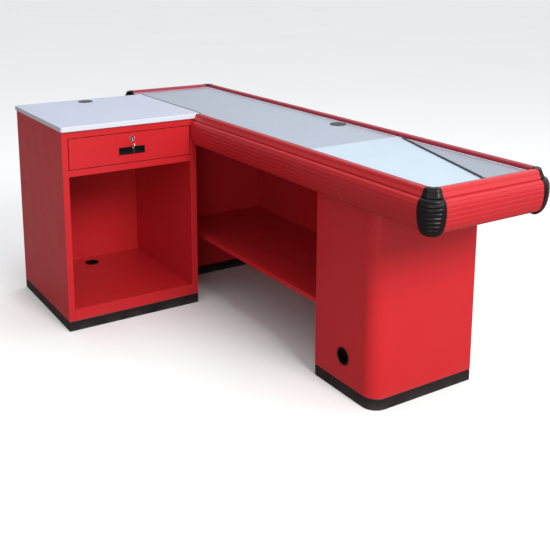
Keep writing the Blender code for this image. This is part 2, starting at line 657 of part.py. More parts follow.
# ---- goods deck ---------------------------------------------------------------------------------------------------
def build_deck():
    bm = bmesh.new()
    block(bm, (DECK_X0, DECK_Y0, BOARD_TOP - BOARD), (DECK_X1, DECK_Y1, BOARD_TOP))
    board = add_piece("deck_board", bm, CHIPBOARD)
    bm = bmesh.new()
    block(bm, (DECK_X0, DECK_Y0, DECK_TOP - PLATE), (SEAM_X - GAP, DECK_Y1, DECK_TOP))
    plate = add_piece("deck_plate", bm, DECK_STEEL)
    hole = (DECK_GROMMET_ALONG + REACH, DECK_Y1 - DECK_GROMMET_FROM_FAR, DECK_TOP)
    drill(plate, "Z", hole, GROMMET_HOLE, 4 * BOARD)
    drill(board, "Z", hole, GROMMET_HOLE, 4 * BOARD)
    grommet("deck_grommet", "Z", hole, 1, PLATE + BOARD, capped=True)

    pivot = Vector((DECK_X1 - DIVIDER_PIVOT_INSET, DECK_Y0 + DIVIDER_PIVOT_ACROSS))
    tip = Vector((SEAM_X + DIVIDER_TIP_INSET, DECK_Y1 - DIVIDER_WIDTH))
    line = (tip - pivot).normalized()
    across = Vector((-line.y, line.x))
    slope = line.y / line.x
    end_y = pivot.y + slope * (DECK_X1 - pivot.x)
    start_x = pivot.x + (DECK_Y1 - pivot.y) / slope
    bm = bmesh.new()
    near = [(SEAM_X, DECK_Y0), (DECK_X1, DECK_Y0), (DECK_X1, end_y - GAP), (start_x - GAP, DECK_Y1),
            (SEAM_X, DECK_Y1)]
    prism(bm, near, "Z", DECK_TOP - PLATE, DECK_TOP)
    near_plate = add_piece("packing_plate_near", bm, BRIGHT_STEEL)
    bm = bmesh.new()
    prism(bm, [(start_x + 2 * GAP, DECK_Y1), (DECK_X1, end_y + GAP), (DECK_X1, DECK_Y1)], "Z",
          DECK_TOP - PLATE, DECK_TOP)
    far_plate = add_piece("packing_plate_far", bm, DECK_STEEL)
    for plate in (near_plate, far_plate):
        drill(plate, "Z", (pivot.x, pivot.y, DECK_TOP), PIVOT_RADIUS + 2 * GAP, 4 * PLATE, 16)
    drill(board, "Z", (pivot.x, pivot.y, BOARD_TOP), PIVOT_RADIUS + GAP, BOARD, 16)

    swing = empty_at("divider_axis", (pivot.x, pivot.y, DECK_TOP), COUNTER)
    low = DECK_TOP + DIVIDER_LIFT
    length = (tip - pivot).length
    half = DIVIDER_WIDTH / 2
    bar = [pivot + across * half, pivot + across * half + line * length,
           pivot - across * half + line * length, pivot - across * half]
    bm = bmesh.new()
    prism(bm, [tuple(point) for point in bar], "Z", low, low + DIVIDER_HEIGHT)
    divider = add_piece("goods_divider", bm, FRAME_STEEL, swing)
    bm = bmesh.new()
    turned(bm, [(0.0, 0.0), (PIVOT_BOSS, 0.0), (PIVOT_BOSS, DIVIDER_HEIGHT), (0.0, DIVIDER_HEIGHT)], "Z",
           (pivot.x, pivot.y, low), 24)
    union(divider, "goods_divider_boss", bm, FRAME_STEEL)
    drill(divider, "Z", (pivot.x, pivot.y, low), PIVOT_RADIUS + GAP, 4 * DIVIDER_HEIGHT, 24)
    bm = bmesh.new()
    head = low + DIVIDER_HEIGHT + GAP
    turned(bm, [(0.0, BOARD_TOP - BOARD / 2), (PIVOT_RADIUS, BOARD_TOP - BOARD / 2), (PIVOT_RADIUS, head),
                (1.8 * PIVOT_RADIUS, head), (1.8 * PIVOT_RADIUS, head + PIVOT_RADIUS / 2),
                (0.0, head + PIVOT_RADIUS / 2)], "Z", (pivot.x, pivot.y, 0.0), 24)
    add_piece("divider_pivot_pin", bm, CHROME)

    near_y = DECK_Y0
    far_y = DECK_Y1 - BEAM_WIDTH
    for name, y in (("deck_beam_near", near_y), ("deck_beam_far", far_y)):
        bm = bmesh.new()
        square_tube(bm, "X", (y, BEAM_BOTTOM), (y + BEAM_WIDTH, BEAM_TOP), DECK_X0, DECK_X1, BEAM_WALL)
        add_piece(name, bm, FRAME_STEEL)
    places = (("cabinet_end", DECK_X0), ("left", LEFT_X1 - BEAM_WIDTH),
              ("right", RIGHT_X0), ("packing_end", DECK_X1 - BEAM_WIDTH))
    for word, x in places:
        bm = bmesh.new()
        square_tube(bm, "Y", (x, BEAM_BOTTOM), (x + BEAM_WIDTH, BEAM_TOP), near_y + BEAM_WIDTH + GAP,
                    far_y - GAP, BEAM_WALL)
        add_piece("deck_cross_member_" + word, bm, FRAME_STEEL)


# ---- pedestals, customer panel, shelf and plinths ---------------------------------------------------------------------
def build_base():
    radius = RIGHT_CORNER_RADIUS
    corner = arc((RIGHT_X1 - radius, PED_Y0 + radius), radius, 270, 360, 8)
    right = [(RIGHT_X0, PED_Y1), (RIGHT_X0, PED_Y0)] + corner + [(RIGHT_X1, PED_Y1)]
    left = [(LEFT_X0, PED_Y1), (LEFT_X0, PED_Y0), (LEFT_X1, PED_Y0), (LEFT_X1, PED_Y1)]
    for word, path in (("right", right), ("left", left)):
        bm = bmesh.new()
        prism(bm, folded(path[::-1], SHEET), "Z", BODY_BOTTOM, PED_TOP)
        shell = add_piece(word + "_pedestal_wrap", bm, RED_PAINT)
        path = [(x, min(y, PANEL_Y1 - PLINTH_THICK - GAP)) for x, y in path]
        bm = bmesh.new()
        prism(bm, folded(path[::-1], PLINTH_THICK), "Z", 0.0, PLINTH_HEIGHT)
        add_piece(word + "_plinth_wrap", bm, BLACK_PLINTH)
        if word == "right":
            hole = ((RIGHT_X0 + RIGHT_X1) / 2, PED_Y0, PEDESTAL_GROMMET_HEIGHT)
            drill(shell, "Y", hole, GROMMET_HOLE, 4 * THIN_GROMMET)
            grommet("pedestal_grommet", "Y", hole, -1, THIN_GROMMET, capped=False)

    bm = bmesh.new()
    block(bm, (LEFT_X0, PANEL_Y1 - SHEET, BODY_BOTTOM), (RIGHT_X1, PANEL_Y1, PED_TOP))
    panel = add_piece("customer_panel", bm, RED_PAINT)
    bm = bmesh.new()
    block(bm, (LEFT_X1 + GAP, PANEL_Y1 - PANEL_FOLD, PED_TOP - SHEET),
          (RIGHT_X0 - GAP, PANEL_Y1 - SHEET / 2, PED_TOP))
    union(panel, "customer_panel_fold", bm, RED_PAINT)
    bm = bmesh.new()
    block(bm, (LEFT_X0, PANEL_Y1 - PLINTH_THICK, 0.0), (RIGHT_X1, PANEL_Y1, PLINTH_HEIGHT))
    add_piece("customer_plinth", bm, BLACK_PLINTH)

    front = PED_Y0 + SHELF_SETBACK
    back = PED_Y1 - GAP
    path = [(front + FLANGE, SHELF_TOP - SHELF_LIP), (front, SHELF_TOP - SHELF_LIP), (front, SHELF_TOP),
            (back, SHELF_TOP), (back, SHELF_TOP - SHELF_LIP)]
    bm = bmesh.new()
    prism(bm, folded(path, SHEET), "X", LEFT_X1 + GAP, RIGHT_X0 - GAP)
    add_piece("storage_shelf", bm, RED_PAINT)

    under = SHELF_TOP - SHELF_LIP - GAP
    for word, wall_x, inward in (("left", LEFT_X1 + GAP, 1), ("right", RIGHT_X0 - GAP, -1)):
        path = [(wall_x + inward * FLANGE, under), (wall_x, under), (wall_x, under - 2 * FLANGE)]
        bm = bmesh.new()
        prism(bm, folded(path[::-1] if inward > 0 else path, SHEET), "Y", front + 2 * FLANGE, back - 2 * FLANGE)
        add_piece("shelf_bracket_" + word, bm, RED_PAINT)

    for word, z in (("upper", CAB_TOP - 4 * SPACER), ("lower", PLINTH_HEIGHT + 2 * SPACER)):
        bm = bmesh.new()
        x = (LEFT_X0 + LEFT_X1) / 2
        square_tube(bm, "Y", (x, z), (x + SPACER, z + SPACER), CAB_Y1 + GAP, PED_Y0 - GAP, BEAM_WALL)
        add_piece("joining_spacer_" + word, bm, FRAME_STEEL)


build_cabinet()
build_drawer()
build_lock()
build_bumpers()
build_deck()
build_base()
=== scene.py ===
"""Looks of the checkout counter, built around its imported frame.
"""
import json
import math

import bmesh
import bpy
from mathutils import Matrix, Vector
from mathutils.bvhtree import BVHTree


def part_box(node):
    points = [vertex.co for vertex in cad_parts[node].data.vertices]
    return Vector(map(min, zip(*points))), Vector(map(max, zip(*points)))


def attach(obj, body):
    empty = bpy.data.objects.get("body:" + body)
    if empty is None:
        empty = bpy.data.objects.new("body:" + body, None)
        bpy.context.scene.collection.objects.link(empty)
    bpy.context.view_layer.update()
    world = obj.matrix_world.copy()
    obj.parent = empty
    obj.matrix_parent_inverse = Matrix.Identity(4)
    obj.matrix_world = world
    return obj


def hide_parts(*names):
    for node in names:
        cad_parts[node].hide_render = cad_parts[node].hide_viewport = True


bl_info = {
    "name": "Checkout Counter Maker",
    "version": (1, 0, 0),
    "blender": (4, 5, 0),
    "location": "3D View > Sidebar > Counter",
    "description": "Finishes a red checkout counter with bumper rails, drawer, lock and goods deck",
    "category": "Object",
}

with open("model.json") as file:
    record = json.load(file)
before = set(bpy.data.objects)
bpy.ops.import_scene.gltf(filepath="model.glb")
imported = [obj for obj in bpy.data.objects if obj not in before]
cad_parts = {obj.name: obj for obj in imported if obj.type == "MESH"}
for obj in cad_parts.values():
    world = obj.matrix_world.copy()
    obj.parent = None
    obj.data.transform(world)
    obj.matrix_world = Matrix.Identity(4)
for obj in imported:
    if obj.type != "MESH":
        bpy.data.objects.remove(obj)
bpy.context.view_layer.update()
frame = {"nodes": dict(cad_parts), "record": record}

# ---- places read from the frame ---------------------------------------------------------
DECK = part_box("deck_plate")
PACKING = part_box("packing_plate_near")
DECK_TOP = DECK[1][2]
DECK_X0 = DECK[0][0]
DECK_X1 = PACKING[1][0]
DECK_Y0 = DECK[0][1]
DECK_Y1 = DECK[1][1]
NEAR_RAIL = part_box("near_rail")
FAR_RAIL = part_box("far_rail")
END_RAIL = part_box("packing_end_rail")
CABINET_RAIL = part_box("cabinet_end_rail")
CAP_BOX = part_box("corner_cap_near_packing")
RAIL_REACH = DECK_Y0 - NEAR_RAIL[0][1]
RAIL_RISE = NEAR_RAIL[1][2] - DECK_TOP
RAIL_DROP = DECK_TOP - NEAR_RAIL[0][2]
CAP_PROUD = NEAR_RAIL[0][1] - CAP_BOX[0][1]
CAP_DROP = DECK_TOP - CAP_BOX[0][2] - CAP_PROUD
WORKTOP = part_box("cabinet_worktop")
SEE = 0.0003              # air between pieces that touch


# ---- settings -----------------------------------------------------------------------------
def colour(name, description, default):
    """A colour setting for the panel."""
    return bpy.props.FloatVectorProperty(name=name, description=description, subtype="COLOR", size=3,
                                         min=0.0, max=1.0, default=default)


def distance(name, description, low, high, default):
    """A length setting for the panel, in metres."""
    return bpy.props.FloatProperty(name=name, description=description, subtype="DISTANCE", unit="LENGTH",
                                   min=low, max=high, default=default)


class CounterPaintSettings(bpy.types.PropertyGroup):
    """Colours and finish of the painted steel and of the plastics."""
    red: colour("Paint", "Powder coat of the steel panels", (0.560, 0.018, 0.024))
    bumper_red: colour("Bumper", "Colour moulded into the bumper rails", (0.470, 0.018, 0.024))
    black: colour("Black plastic", "Corner caps, grommets and drawer pull", (0.0045, 0.0040, 0.0046))
    plinth: colour("Plinth", "Kickboards round the foot", (0.0060, 0.0050, 0.0060))
    gloss: bpy.props.FloatProperty(
        name="Paint roughness", description="Roughness of the powder coat", subtype="FACTOR",
        min=0.0, max=1.0, default=0.30)
    wear: bpy.props.FloatProperty(
        name="Edge wear", description="How far folded edges are rubbed", subtype="FACTOR",
        min=0.0, max=1.0, default=0.25)


class CounterDeckSettings(bpy.types.PropertyGroup):
    """Colours of the worktop and of the steel deck."""
    laminate: colour("Laminate", "Face of the cabinet's worktop", (0.470, 0.505, 0.632))
    edging: colour("Edging", "Band round the worktop's edge", (0.640, 0.700, 0.770))
    steel: colour("Deck steel", "Satin sheet of the long plate", (0.470, 0.530, 0.640))
    # paler than the deck steel: painted highlight for the light the sloping packing plate catches
    bright: colour("Bright steel", "Satin sheet of the packing plate", (0.580, 0.690, 0.800))
    brush_scale: bpy.props.FloatProperty(
        name="Brush scale", description="Fineness of the brushing across the grain",
        min=50.0, max=2000.0, default=700.0)


class CounterBumperSettings(bpy.types.PropertyGroup):
    """Shape of the bumper rails and their corner caps."""
    rib_pitch: distance("Rib pitch", "Distance between the fine ribs of a rail", 0.002, 0.05, 0.0152)
    rib_depth: distance("Rib depth", "Depth of the grooves between the fine ribs", 0.0, 0.01, 0.0011)
    cap_rib_pitch: distance("Cap rib pitch", "Distance between the ribs of a corner cap", 0.002, 0.05, 0.0135)
    cap_rib_depth: distance("Cap rib depth", "Depth of the grooves of a corner cap", 0.0, 0.01, 0.0026)
    wall: distance("Wall", "Wall of the hollow rail", 0.001, 0.01, 0.0022)


class CounterSheetSettings(bpy.types.PropertyGroup):
    """Edges of the folded steel and the worktop."""
    sheet_edge: distance("Sheet edge", "Rounding of cut and folded sheet edges", 0.0001, 0.002, 0.0006)
    top_corner: distance("Worktop corner", "Radius of the worktop's corners in plan", 0.001, 0.05, 0.008)
    top_edge: distance("Worktop edge", "Rounding of the worktop's edges", 0.0005, 0.01, 0.0025)
    screw_radius: distance("Screw radius", "Radius of the fixing screws' heads", 0.001, 0.01, 0.0045)
    screw_pitch: distance("Screw pitch", "Distance between the screws of a row", 0.02, 1.0, 0.18)


# ---- shader groups ---------------------------------------------------------------------------
def new_group(name, inputs, outputs):
    """A shader node group with float or colour sockets; returns it and its two ends."""
    group = bpy.data.node_groups.new(name, "ShaderNodeTree")
    for label, kind, value in inputs:
        socket = group.interface.new_socket(label, in_out="INPUT", socket_type="NodeSocket" + kind)
        if value is not None:
            socket.default_value = value
    for label, kind in outputs:
        group.interface.new_socket(label, in_out="OUTPUT", socket_type="NodeSocket" + kind)
    start = group.nodes.new("NodeGroupInput")
    end = group.nodes.new("NodeGroupOutput")
    return group, start, end


def noise(tree, vector, scale, detail=2.0, roughness=0.5, distortion=0.0):
    node = tree.nodes.new("ShaderNodeTexNoise")
    node.inputs["Scale"].default_value = scale
    node.inputs["Detail"].default_value = detail
    node.inputs["Roughness"].default_value = roughness
    node.inputs["Distortion"].default_value = distortion
    tree.links.new(vector, node.inputs["Vector"])
    return node.outputs["Fac"]


def stretched(tree, vector, scale):
    node = tree.nodes.new("ShaderNodeMapping")
    node.inputs["Scale"].default_value = scale
    tree.links.new(vector, node.inputs["Vector"])
    return node.outputs["Vector"]


def ramp(tree, value, low, high, to_low=0.0, to_high=1.0):
    node = tree.nodes.new("ShaderNodeMapRange")
    node.clamp = True
    for label, number in (("From Min", low), ("From Max", high), ("To Min", to_low), ("To Max", to_high)):
        node.inputs[label].default_value = number
    tree.links.new(value, node.inputs["Value"])
    return node.outputs["Result"]


def maths(tree, operation, first, second=None):
    node = tree.nodes.new("ShaderNodeMath")
    node.operation = operation
    for k, value in enumerate((first, second)):
        if value is None:
            continue
        if isinstance(value, (int, float)):
            node.inputs[k].default_value = value
        else:
            tree.links.new(value, node.inputs[k])
    return node.outputs["Value"]


def mixed(tree, factor, first, second):
    """Colour mix; each value may be a socket or an RGB triple."""
    node = tree.nodes.new("ShaderNodeMix")
    node.data_type = "RGBA"
    tree.links.new(factor, node.inputs["Factor"])
    for label, value in (("A", first), ("B", second)):
        socket = [s for s in node.inputs if s.name == label and s.type == "RGBA"][0]
        if isinstance(value, bpy.types.NodeSocket):
            tree.links.new(value, socket)
        else:
            socket.default_value = (*value, 1.0)
    return [s for s in node.outputs if s.type == "RGBA"][0]


def object_coordinates(tree):
    return tree.nodes.new("ShaderNodeTexCoord").outputs["Object"]


def make_rubbed_edges():
    """Mask of rubbed folds: the bevel attribute broken up by noise."""
    group, start, end = new_group(
        "Rubbed edges",
        [("Vector", "Vector", None), ("Amount", "Float", 0.3), ("Scale", "Float", 60.0)],
        [("Mask", "Float")])
    edge = group.nodes.new("ShaderNodeAttribute")
    edge.attribute_name = "edge"
    spots = group.nodes.new("ShaderNodeTexNoise")
    spots.inputs["Detail"].default_value = 4.0
    group.links.new(start.outputs["Vector"], spots.inputs["Vector"])
    group.links.new(start.outputs["Scale"], spots.inputs["Scale"])
    broken = ramp(group, spots.outputs["Fac"], 0.45, 0.75)
    mask = maths(group, "MULTIPLY", broken, edge.outputs["Fac"])
    group.links.new(maths(group, "MULTIPLY", mask, start.outputs["Amount"]), end.inputs["Mask"])
    return group


def make_foot_dust():
    """Mask of dust that gathers low down and thins out with height."""
    group, start, end = new_group(
        "Foot dust",
        [("Vector", "Vector", None), ("Height", "Float", 0.12), ("Amount", "Float", 0.4)],
        [("Mask", "Float")])
    parts = group.nodes.new("ShaderNodeSeparateXYZ")
    group.links.new(start.outputs["Vector"], parts.inputs["Vector"])
    low = maths(group, "DIVIDE", parts.outputs["Z"], start.outputs["Height"])
    fade = ramp(group, low, 0.0, 1.0, 1.0, 0.0)
    patches = noise(group, start.outputs["Vector"], 14.0, 5.0, 0.6)
    clumped = ramp(group, patches, 0.35, 0.70)
    mask = maths(group, "MULTIPLY", maths(group, "POWER", fade, 2.0), clumped)
    group.links.new(maths(group, "MULTIPLY", mask, start.outputs["Amount"]), end.inputs["Mask"])
    return group


def make_handling():
    """Broad uneven tone and smears: values that drive colour and roughness."""
    group, start, end = new_group(
        "Handling",
        [("Vector", "Vector", None), ("Tone", "Float", 0.08), ("Smear", "Float", 0.08)],
        [("Tone", "Float"), ("Smear", "Float")])
    broad = noise(group, start.outputs["Vector"], 3.1, 3.0, 0.55)
    tone = maths(group, "MULTIPLY", maths(group, "SUBTRACT", broad, 0.5), start.outputs["Tone"])
    group.links.new(maths(group, "ADD", tone, 1.0), end.inputs["Tone"])
    wiped = noise(group, stretched(group, start.outputs["Vector"], (4.0, 4.0, 2.5)), 2.3, 4.0, 0.6, 0.2)
    smear = maths(group, "MULTIPLY", ramp(group, wiped, 0.40, 0.75), start.outputs["Smear"])
    group.links.new(smear, end.inputs["Smear"])
    return group


def make_orange_peel():
    """Height of the fine waviness of sprayed and baked powder."""
    group, start, end = new_group(
        "Orange peel", [("Vector", "Vector", None), ("Scale", "Float", 420.0)], [("Height", "Float")])
    waves = group.nodes.new("ShaderNodeTexNoise")
    waves.inputs["Detail"].default_value = 1.0
    group.links.new(start.outputs["Vector"], waves.inputs["Vector"])
    group.links.new(start.outputs["Scale"], waves.inputs["Scale"])
    group.links.new(waves.outputs["Fac"], end.inputs["Height"])
    return group


def make_brushing():
    """Height and tone of brushed steel, the grain along X."""
    group, start, end = new_group(
        "Brushing",
        [("Vector", "Vector", None), ("Across", "Float", 700.0)],
        [("Height", "Float"), ("Tone", "Float")])
    parts = group.nodes.new("ShaderNodeSeparateXYZ")
    group.links.new(start.outputs["Vector"], parts.inputs["Vector"])
    rows = group.nodes.new("ShaderNodeCombineXYZ")
    group.links.new(maths(group, "MULTIPLY", parts.outputs["X"], 6.0), rows.inputs["X"])
    group.links.new(maths(group, "MULTIPLY", parts.outputs["Y"], start.outputs["Across"]), rows.inputs["Y"])
    group.links.new(maths(group, "MULTIPLY", parts.outputs["Z"], start.outputs["Across"]), rows.inputs["Z"])
    lines = noise(group, rows.outputs["Vector"], 1.0, 3.0, 0.6)
    group.links.new(lines, end.inputs["Height"])
    group.links.new(ramp(group, lines, 0.25, 0.75, 0.98, 1.02), end.inputs["Tone"])
    return group


GROUPS = {}


def shared(name):
    """The shader group of that name, built on first use."""
    makers = {"Rubbed edges": make_rubbed_edges, "Foot dust": make_foot_dust, "Handling": make_handling,
              "Orange peel": make_orange_peel, "Brushing": make_brushing}
    if name not in GROUPS:
        GROUPS[name] = makers[name]()
    return GROUPS[name]


def place(tree, name, vector, **values):
    """An instance of a shared group in a material."""
    node = tree.nodes.new("ShaderNodeGroup")
    node.node_tree = shared(name)
    tree.links.new(vector, node.inputs["Vector"])
    for label, value in values.items():
        node.inputs[label].default_value = value
    return node


def toned(tree, colour, tone):
    """A colour multiplied by a value that changes over the surface."""
    node = tree.nodes.new("ShaderNodeVectorMath")
    node.operation = "SCALE"
    if isinstance(colour, bpy.types.NodeSocket):
        tree.links.new(colour, node.inputs[0])
    else:
        node.inputs[0].default_value = colour
    tree.links.new(tone, node.inputs["Scale"])
    return node.outputs["Vector"]


def bumped(tree, shader, height, strength, distance):
    node = tree.nodes.new("ShaderNodeBump")
    node.inputs["Strength"].default_value = strength
    node.inputs["Distance"].default_value = distance
    tree.links.new(height, node.inputs["Height"])
    tree.links.new(node.outputs["Normal"], shader.inputs["Normal"])


def new_material(name, base):
    material = bpy.data.materials.new(name)
    material.use_nodes = True
    tree = material.node_tree
    shader = tree.nodes["Principled BSDF"]
    shader.inputs["Base Color"].default_value = (*base, 1.0)
    material.diffuse_color = (*base, 1.0)
    return material, tree, shader, object_coordinates(tree)


# ---- materials -----------------------------------------------------------------------------------
def painted_steel(name, colour, roughness, wear, coat=0.12):
    material, tree, shader, at = new_material(name, colour)
    handling = place(tree, "Handling", at, Tone=0.10, Smear=0.10)
    dust = place(tree, "Foot dust", at, Height=0.10, Amount=0.18)
    rubbed = place(tree, "Rubbed edges", at, Amount=wear, Scale=70.0)
    base = toned(tree, colour, handling.outputs["Tone"])
    pale = tuple(min(1.0, c * 0.6 + 0.30) for c in colour)
    base = mixed(tree, rubbed.outputs["Mask"], base, pale)
    base = mixed(tree, dust.outputs["Mask"], base, (0.32, 0.27, 0.25))
    tree.links.new(base, shader.inputs["Base Color"])
    rough = maths(tree, "ADD", handling.outputs["Smear"], roughness)
    rough = maths(tree, "ADD", rough, maths(tree, "MULTIPLY", dust.outputs["Mask"], 0.5))
    tree.links.new(rough, shader.inputs["Roughness"])
    shader.inputs["Specular IOR Level"].default_value = 0.34
    shader.inputs["Coat Weight"].default_value = coat
    shader.inputs["Coat Roughness"].default_value = 0.12
    peel = place(tree, "Orange peel", at, Scale=420.0)
    bumped(tree, shader, peel.outputs["Height"], 0.10, 0.0004)
    return material


def moulded_plastic(name, colour, roughness, grain, tone=0.10, shine=0.36):
    material, tree, shader, at = new_material(name, colour)
    handling = place(tree, "Handling", at, Tone=tone, Smear=0.14)
    rubbed = place(tree, "Rubbed edges", at, Amount=0.25, Scale=90.0)
    base = toned(tree, colour, handling.outputs["Tone"])
    pale = tuple(min(1.0, c * 0.8 + 0.10) for c in colour)
    base = mixed(tree, rubbed.outputs["Mask"], base, pale)
    tree.links.new(base, shader.inputs["Base Color"])
    tree.links.new(maths(tree, "ADD", handling.outputs["Smear"], roughness), shader.inputs["Roughness"])
    shader.inputs["Specular IOR Level"].default_value = shine
    pebbles = tree.nodes.new("ShaderNodeTexVoronoi")
    pebbles.inputs["Scale"].default_value = grain
    tree.links.new(at, pebbles.inputs["Vector"])
    bumped(tree, shader, pebbles.outputs["Distance"], 0.12, 0.0004)
    return material


def kickboard_plastic(name, colour):
    material, tree, shader, at = new_material(name, colour)
    handling = place(tree, "Handling", at, Tone=0.30, Smear=0.20)
    dust = place(tree, "Foot dust", at, Height=0.05, Amount=0.30)
    base = toned(tree, colour, handling.outputs["Tone"])
    base = mixed(tree, dust.outputs["Mask"], base, (0.16, 0.14, 0.13))
    tree.links.new(base, shader.inputs["Base Color"])
    tree.links.new(maths(tree, "ADD", handling.outputs["Smear"], 0.42), shader.inputs["Roughness"])
    drawn = noise(tree, stretched(tree, at, (8.0, 8.0, 900.0)), 1.0, 2.0)
    bumped(tree, shader, drawn, 0.15, 0.0005)
    return material


def laminate_face(name, colour):
    material, tree, shader, at = new_material(name, colour)
    speckle = noise(tree, at, 900.0, 1.0)
    broad = noise(tree, at, 6.0, 3.0)
    tone = maths(tree, "ADD", ramp(tree, speckle, 0.3, 0.7, -0.035, 0.035), ramp(tree, broad, 0.3, 0.7, 0.98, 1.02))
    tree.links.new(toned(tree, colour, tone), shader.inputs["Base Color"])
    tree.links.new(ramp(tree, broad, 0.3, 0.7, 0.30, 0.42), shader.inputs["Roughness"])
    bumped(tree, shader, speckle, 0.08, 0.0003)
    return material


def satin_steel(name, colour, roughness, across, metallic=1.0):
    material, tree, shader, at = new_material(name, colour)
    brushing = place(tree, "Brushing", at, Across=across)
    handling = place(tree, "Handling", at, Tone=0.06, Smear=0.12)
    tone = maths(tree, "MULTIPLY", brushing.outputs["Tone"], handling.outputs["Tone"])
    tree.links.new(toned(tree, colour, tone), shader.inputs["Base Color"])
    tree.links.new(maths(tree, "ADD", handling.outputs["Smear"], roughness), shader.inputs["Roughness"])
    shader.inputs["Metallic"].default_value = metallic
    bumped(tree, shader, brushing.outputs["Height"], 0.012, 0.0003)
    return material


def plated_metal(name, colour, roughness):
    material, tree, shader, at = new_material(name, colour)
    handling = place(tree, "Handling", at, Tone=0.10, Smear=0.12)
    tree.links.new(toned(tree, colour, handling.outputs["Tone"]), shader.inputs["Base Color"])
    tree.links.new(maths(tree, "ADD", handling.outputs["Smear"], roughness), shader.inputs["Roughness"])
    shader.inputs["Metallic"].default_value = 1.0
    spangle = noise(tree, at, 260.0, 3.0)
    bumped(tree, shader, spangle, 0.06, 0.0003)
    return material


def chipboard_core(name, colour):
    material, tree, shader, at = new_material(name, colour)
    chips = tree.nodes.new("ShaderNodeTexVoronoi")
    chips.inputs["Scale"].default_value = 260.0
    tree.links.new(stretched(tree, at, (0.4, 1.0, 1.6)), chips.inputs["Vector"])
    tone = ramp(tree, chips.outputs["Distance"], 0.0, 0.8, 0.70, 1.15)
    tree.links.new(toned(tree, colour, tone), shader.inputs["Base Color"])
    shader.inputs["Roughness"].default_value = 0.85
    bumped(tree, shader, chips.outputs["Distance"], 0.3, 0.0008)
    return material


def stage_floor(name, colour):
    """A pale floor that throws a dimmer, warmer light back on the object than the camera sees."""
    material, tree, shader, at = new_material(name, colour)
    broad = noise(tree, at, 0.7, 2.0)
    seen = toned(tree, colour, ramp(tree, broad, 0.3, 0.7, 0.99, 1.01))
    path = tree.nodes.new("ShaderNodeLightPath")
    bounce = tuple(k * c for k, c in zip((0.30, 0.20, 0.20), colour))
    tree.links.new(mixed(tree, path.outputs["Is Camera Ray"], bounce, seen), shader.inputs["Base Color"])
    shader.inputs["Roughness"].default_value = 0.9
    shader.inputs["Specular IOR Level"].default_value = 0.2
    return material


MATERIALS = {}


def finish(name):
    """The material of that name, built on first use from the panel's settings."""
    scene = bpy.context.scene
    paint, deck = scene.counter_paint, scene.counter_deck
    makers = {
        "red powder coat": lambda n: painted_steel(n, tuple(paint.red), paint.gloss, paint.wear),
        "red bumper": lambda n: moulded_plastic(n, tuple(paint.bumper_red), 0.30, 700.0, 0.08),
        # darker red for the lip's inner face: painted shade, the same plastic as the red bumper
        "bumper strip": lambda n: moulded_plastic(n, (0.290, 0.014, 0.030), 0.40, 700.0, 0.08),
        # caps, grommets and pull, also used for the painted shadow line beside the worktop
        "black moulding": lambda n: moulded_plastic(n, tuple(paint.black), 0.32, 900.0, 0.2, 0.24),
        "black kickboard": lambda n: kickboard_plastic(n, tuple(paint.plinth)),
        "pale laminate": lambda n: laminate_face(n, tuple(deck.laminate)),
        # worktop's real edge band, also used for the painted highlight strip round the deck
        "pale edging": lambda n: moulded_plastic(n, tuple(deck.edging), 0.35, 900.0, 0.03),
        "deck steel": lambda n: satin_steel(n, tuple(deck.steel), 0.28, deck.brush_scale, 0.75),
        # paler than the deck steel: painted highlight for the light the sloping packing plate catches
        "bright steel": lambda n: satin_steel(n, tuple(deck.bright), 0.34, deck.brush_scale, 0.60),
        # the deck steel made darker for the far packing plate: painted shade for a plate turned from the light
        "far steel": lambda n: satin_steel(n, tuple(0.80 * c for c in deck.steel), 0.30, deck.brush_scale, 0.75),
        "frame steel": lambda n: painted_steel(n, (0.024, 0.024, 0.027), 0.45, 0.4, 0.0),
        "zinc steel": lambda n: plated_metal(n, (0.62, 0.63, 0.64), 0.28),
        "chrome": lambda n: plated_metal(n, (0.62, 0.60, 0.61), 0.16),
        "chipboard": lambda n: chipboard_core(n, (0.42, 0.31, 0.20)),
        "pale floor": lambda n: stage_floor(n, (0.94, 0.94, 0.94)),
    }
    if name not in MATERIALS:
        MATERIALS[name] = makers[name](name)
    return MATERIALS[name]


SLOT_FINISH = {
    "red_paint": "red powder coat", "red_bumper": "red bumper", "black_plastic": "black moulding",
    "black_plinth": "black kickboard", "pale_laminate": "pale laminate", "deck_steel": "deck steel",
    "bright_steel": "bright steel", "frame_steel": "frame steel", "zinc_steel": "zinc steel",
    "chrome": "chrome", "board": "chipboard",
}
NODE_SLOT = {row["node"]: row["material_slot"] for row in frame["record"]["subparts"]}
NODE_BODY = {}
for body_name, members in frame["record"]["behaviour"]["bodies"].items():
    for member in members:
        NODE_BODY[member] = body_name


# ---- mesh helpers ------------------------------------------------------------------------------------
def add_object(name, bm, *materials):
    """A new mesh object from bm, with its materials in slot order."""
    mesh = bpy.data.meshes.new(name)
    bm.to_mesh(mesh)
    bm.free()
    for material in materials:
        mesh.materials.append(material)
    piece = bpy.data.objects.new(name, mesh)
    bpy.context.scene.collection.objects.link(piece)
    return piece


def shade(piece, angle=35.0):
    """Smooth shading with sharp creases, flat faces kept flat by weighted normals."""
    piece.data.shade_smooth()
    piece.data.set_sharp_from_angle(angle=math.radians(angle))
    even = piece.modifiers.new("even normals", "WEIGHTED_NORMAL")
    even.keep_sharp = True
    even.weight = 80
    return piece


def stand_for(piece, node):
    """The piece takes this CAD node's place, on its body."""
    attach(piece, NODE_BODY[node])
    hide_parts(node)
    return piece


def added(piece):
    """A piece with no CAD node of its own, fixed to the counter."""
    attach(piece, "counter")
    return piece


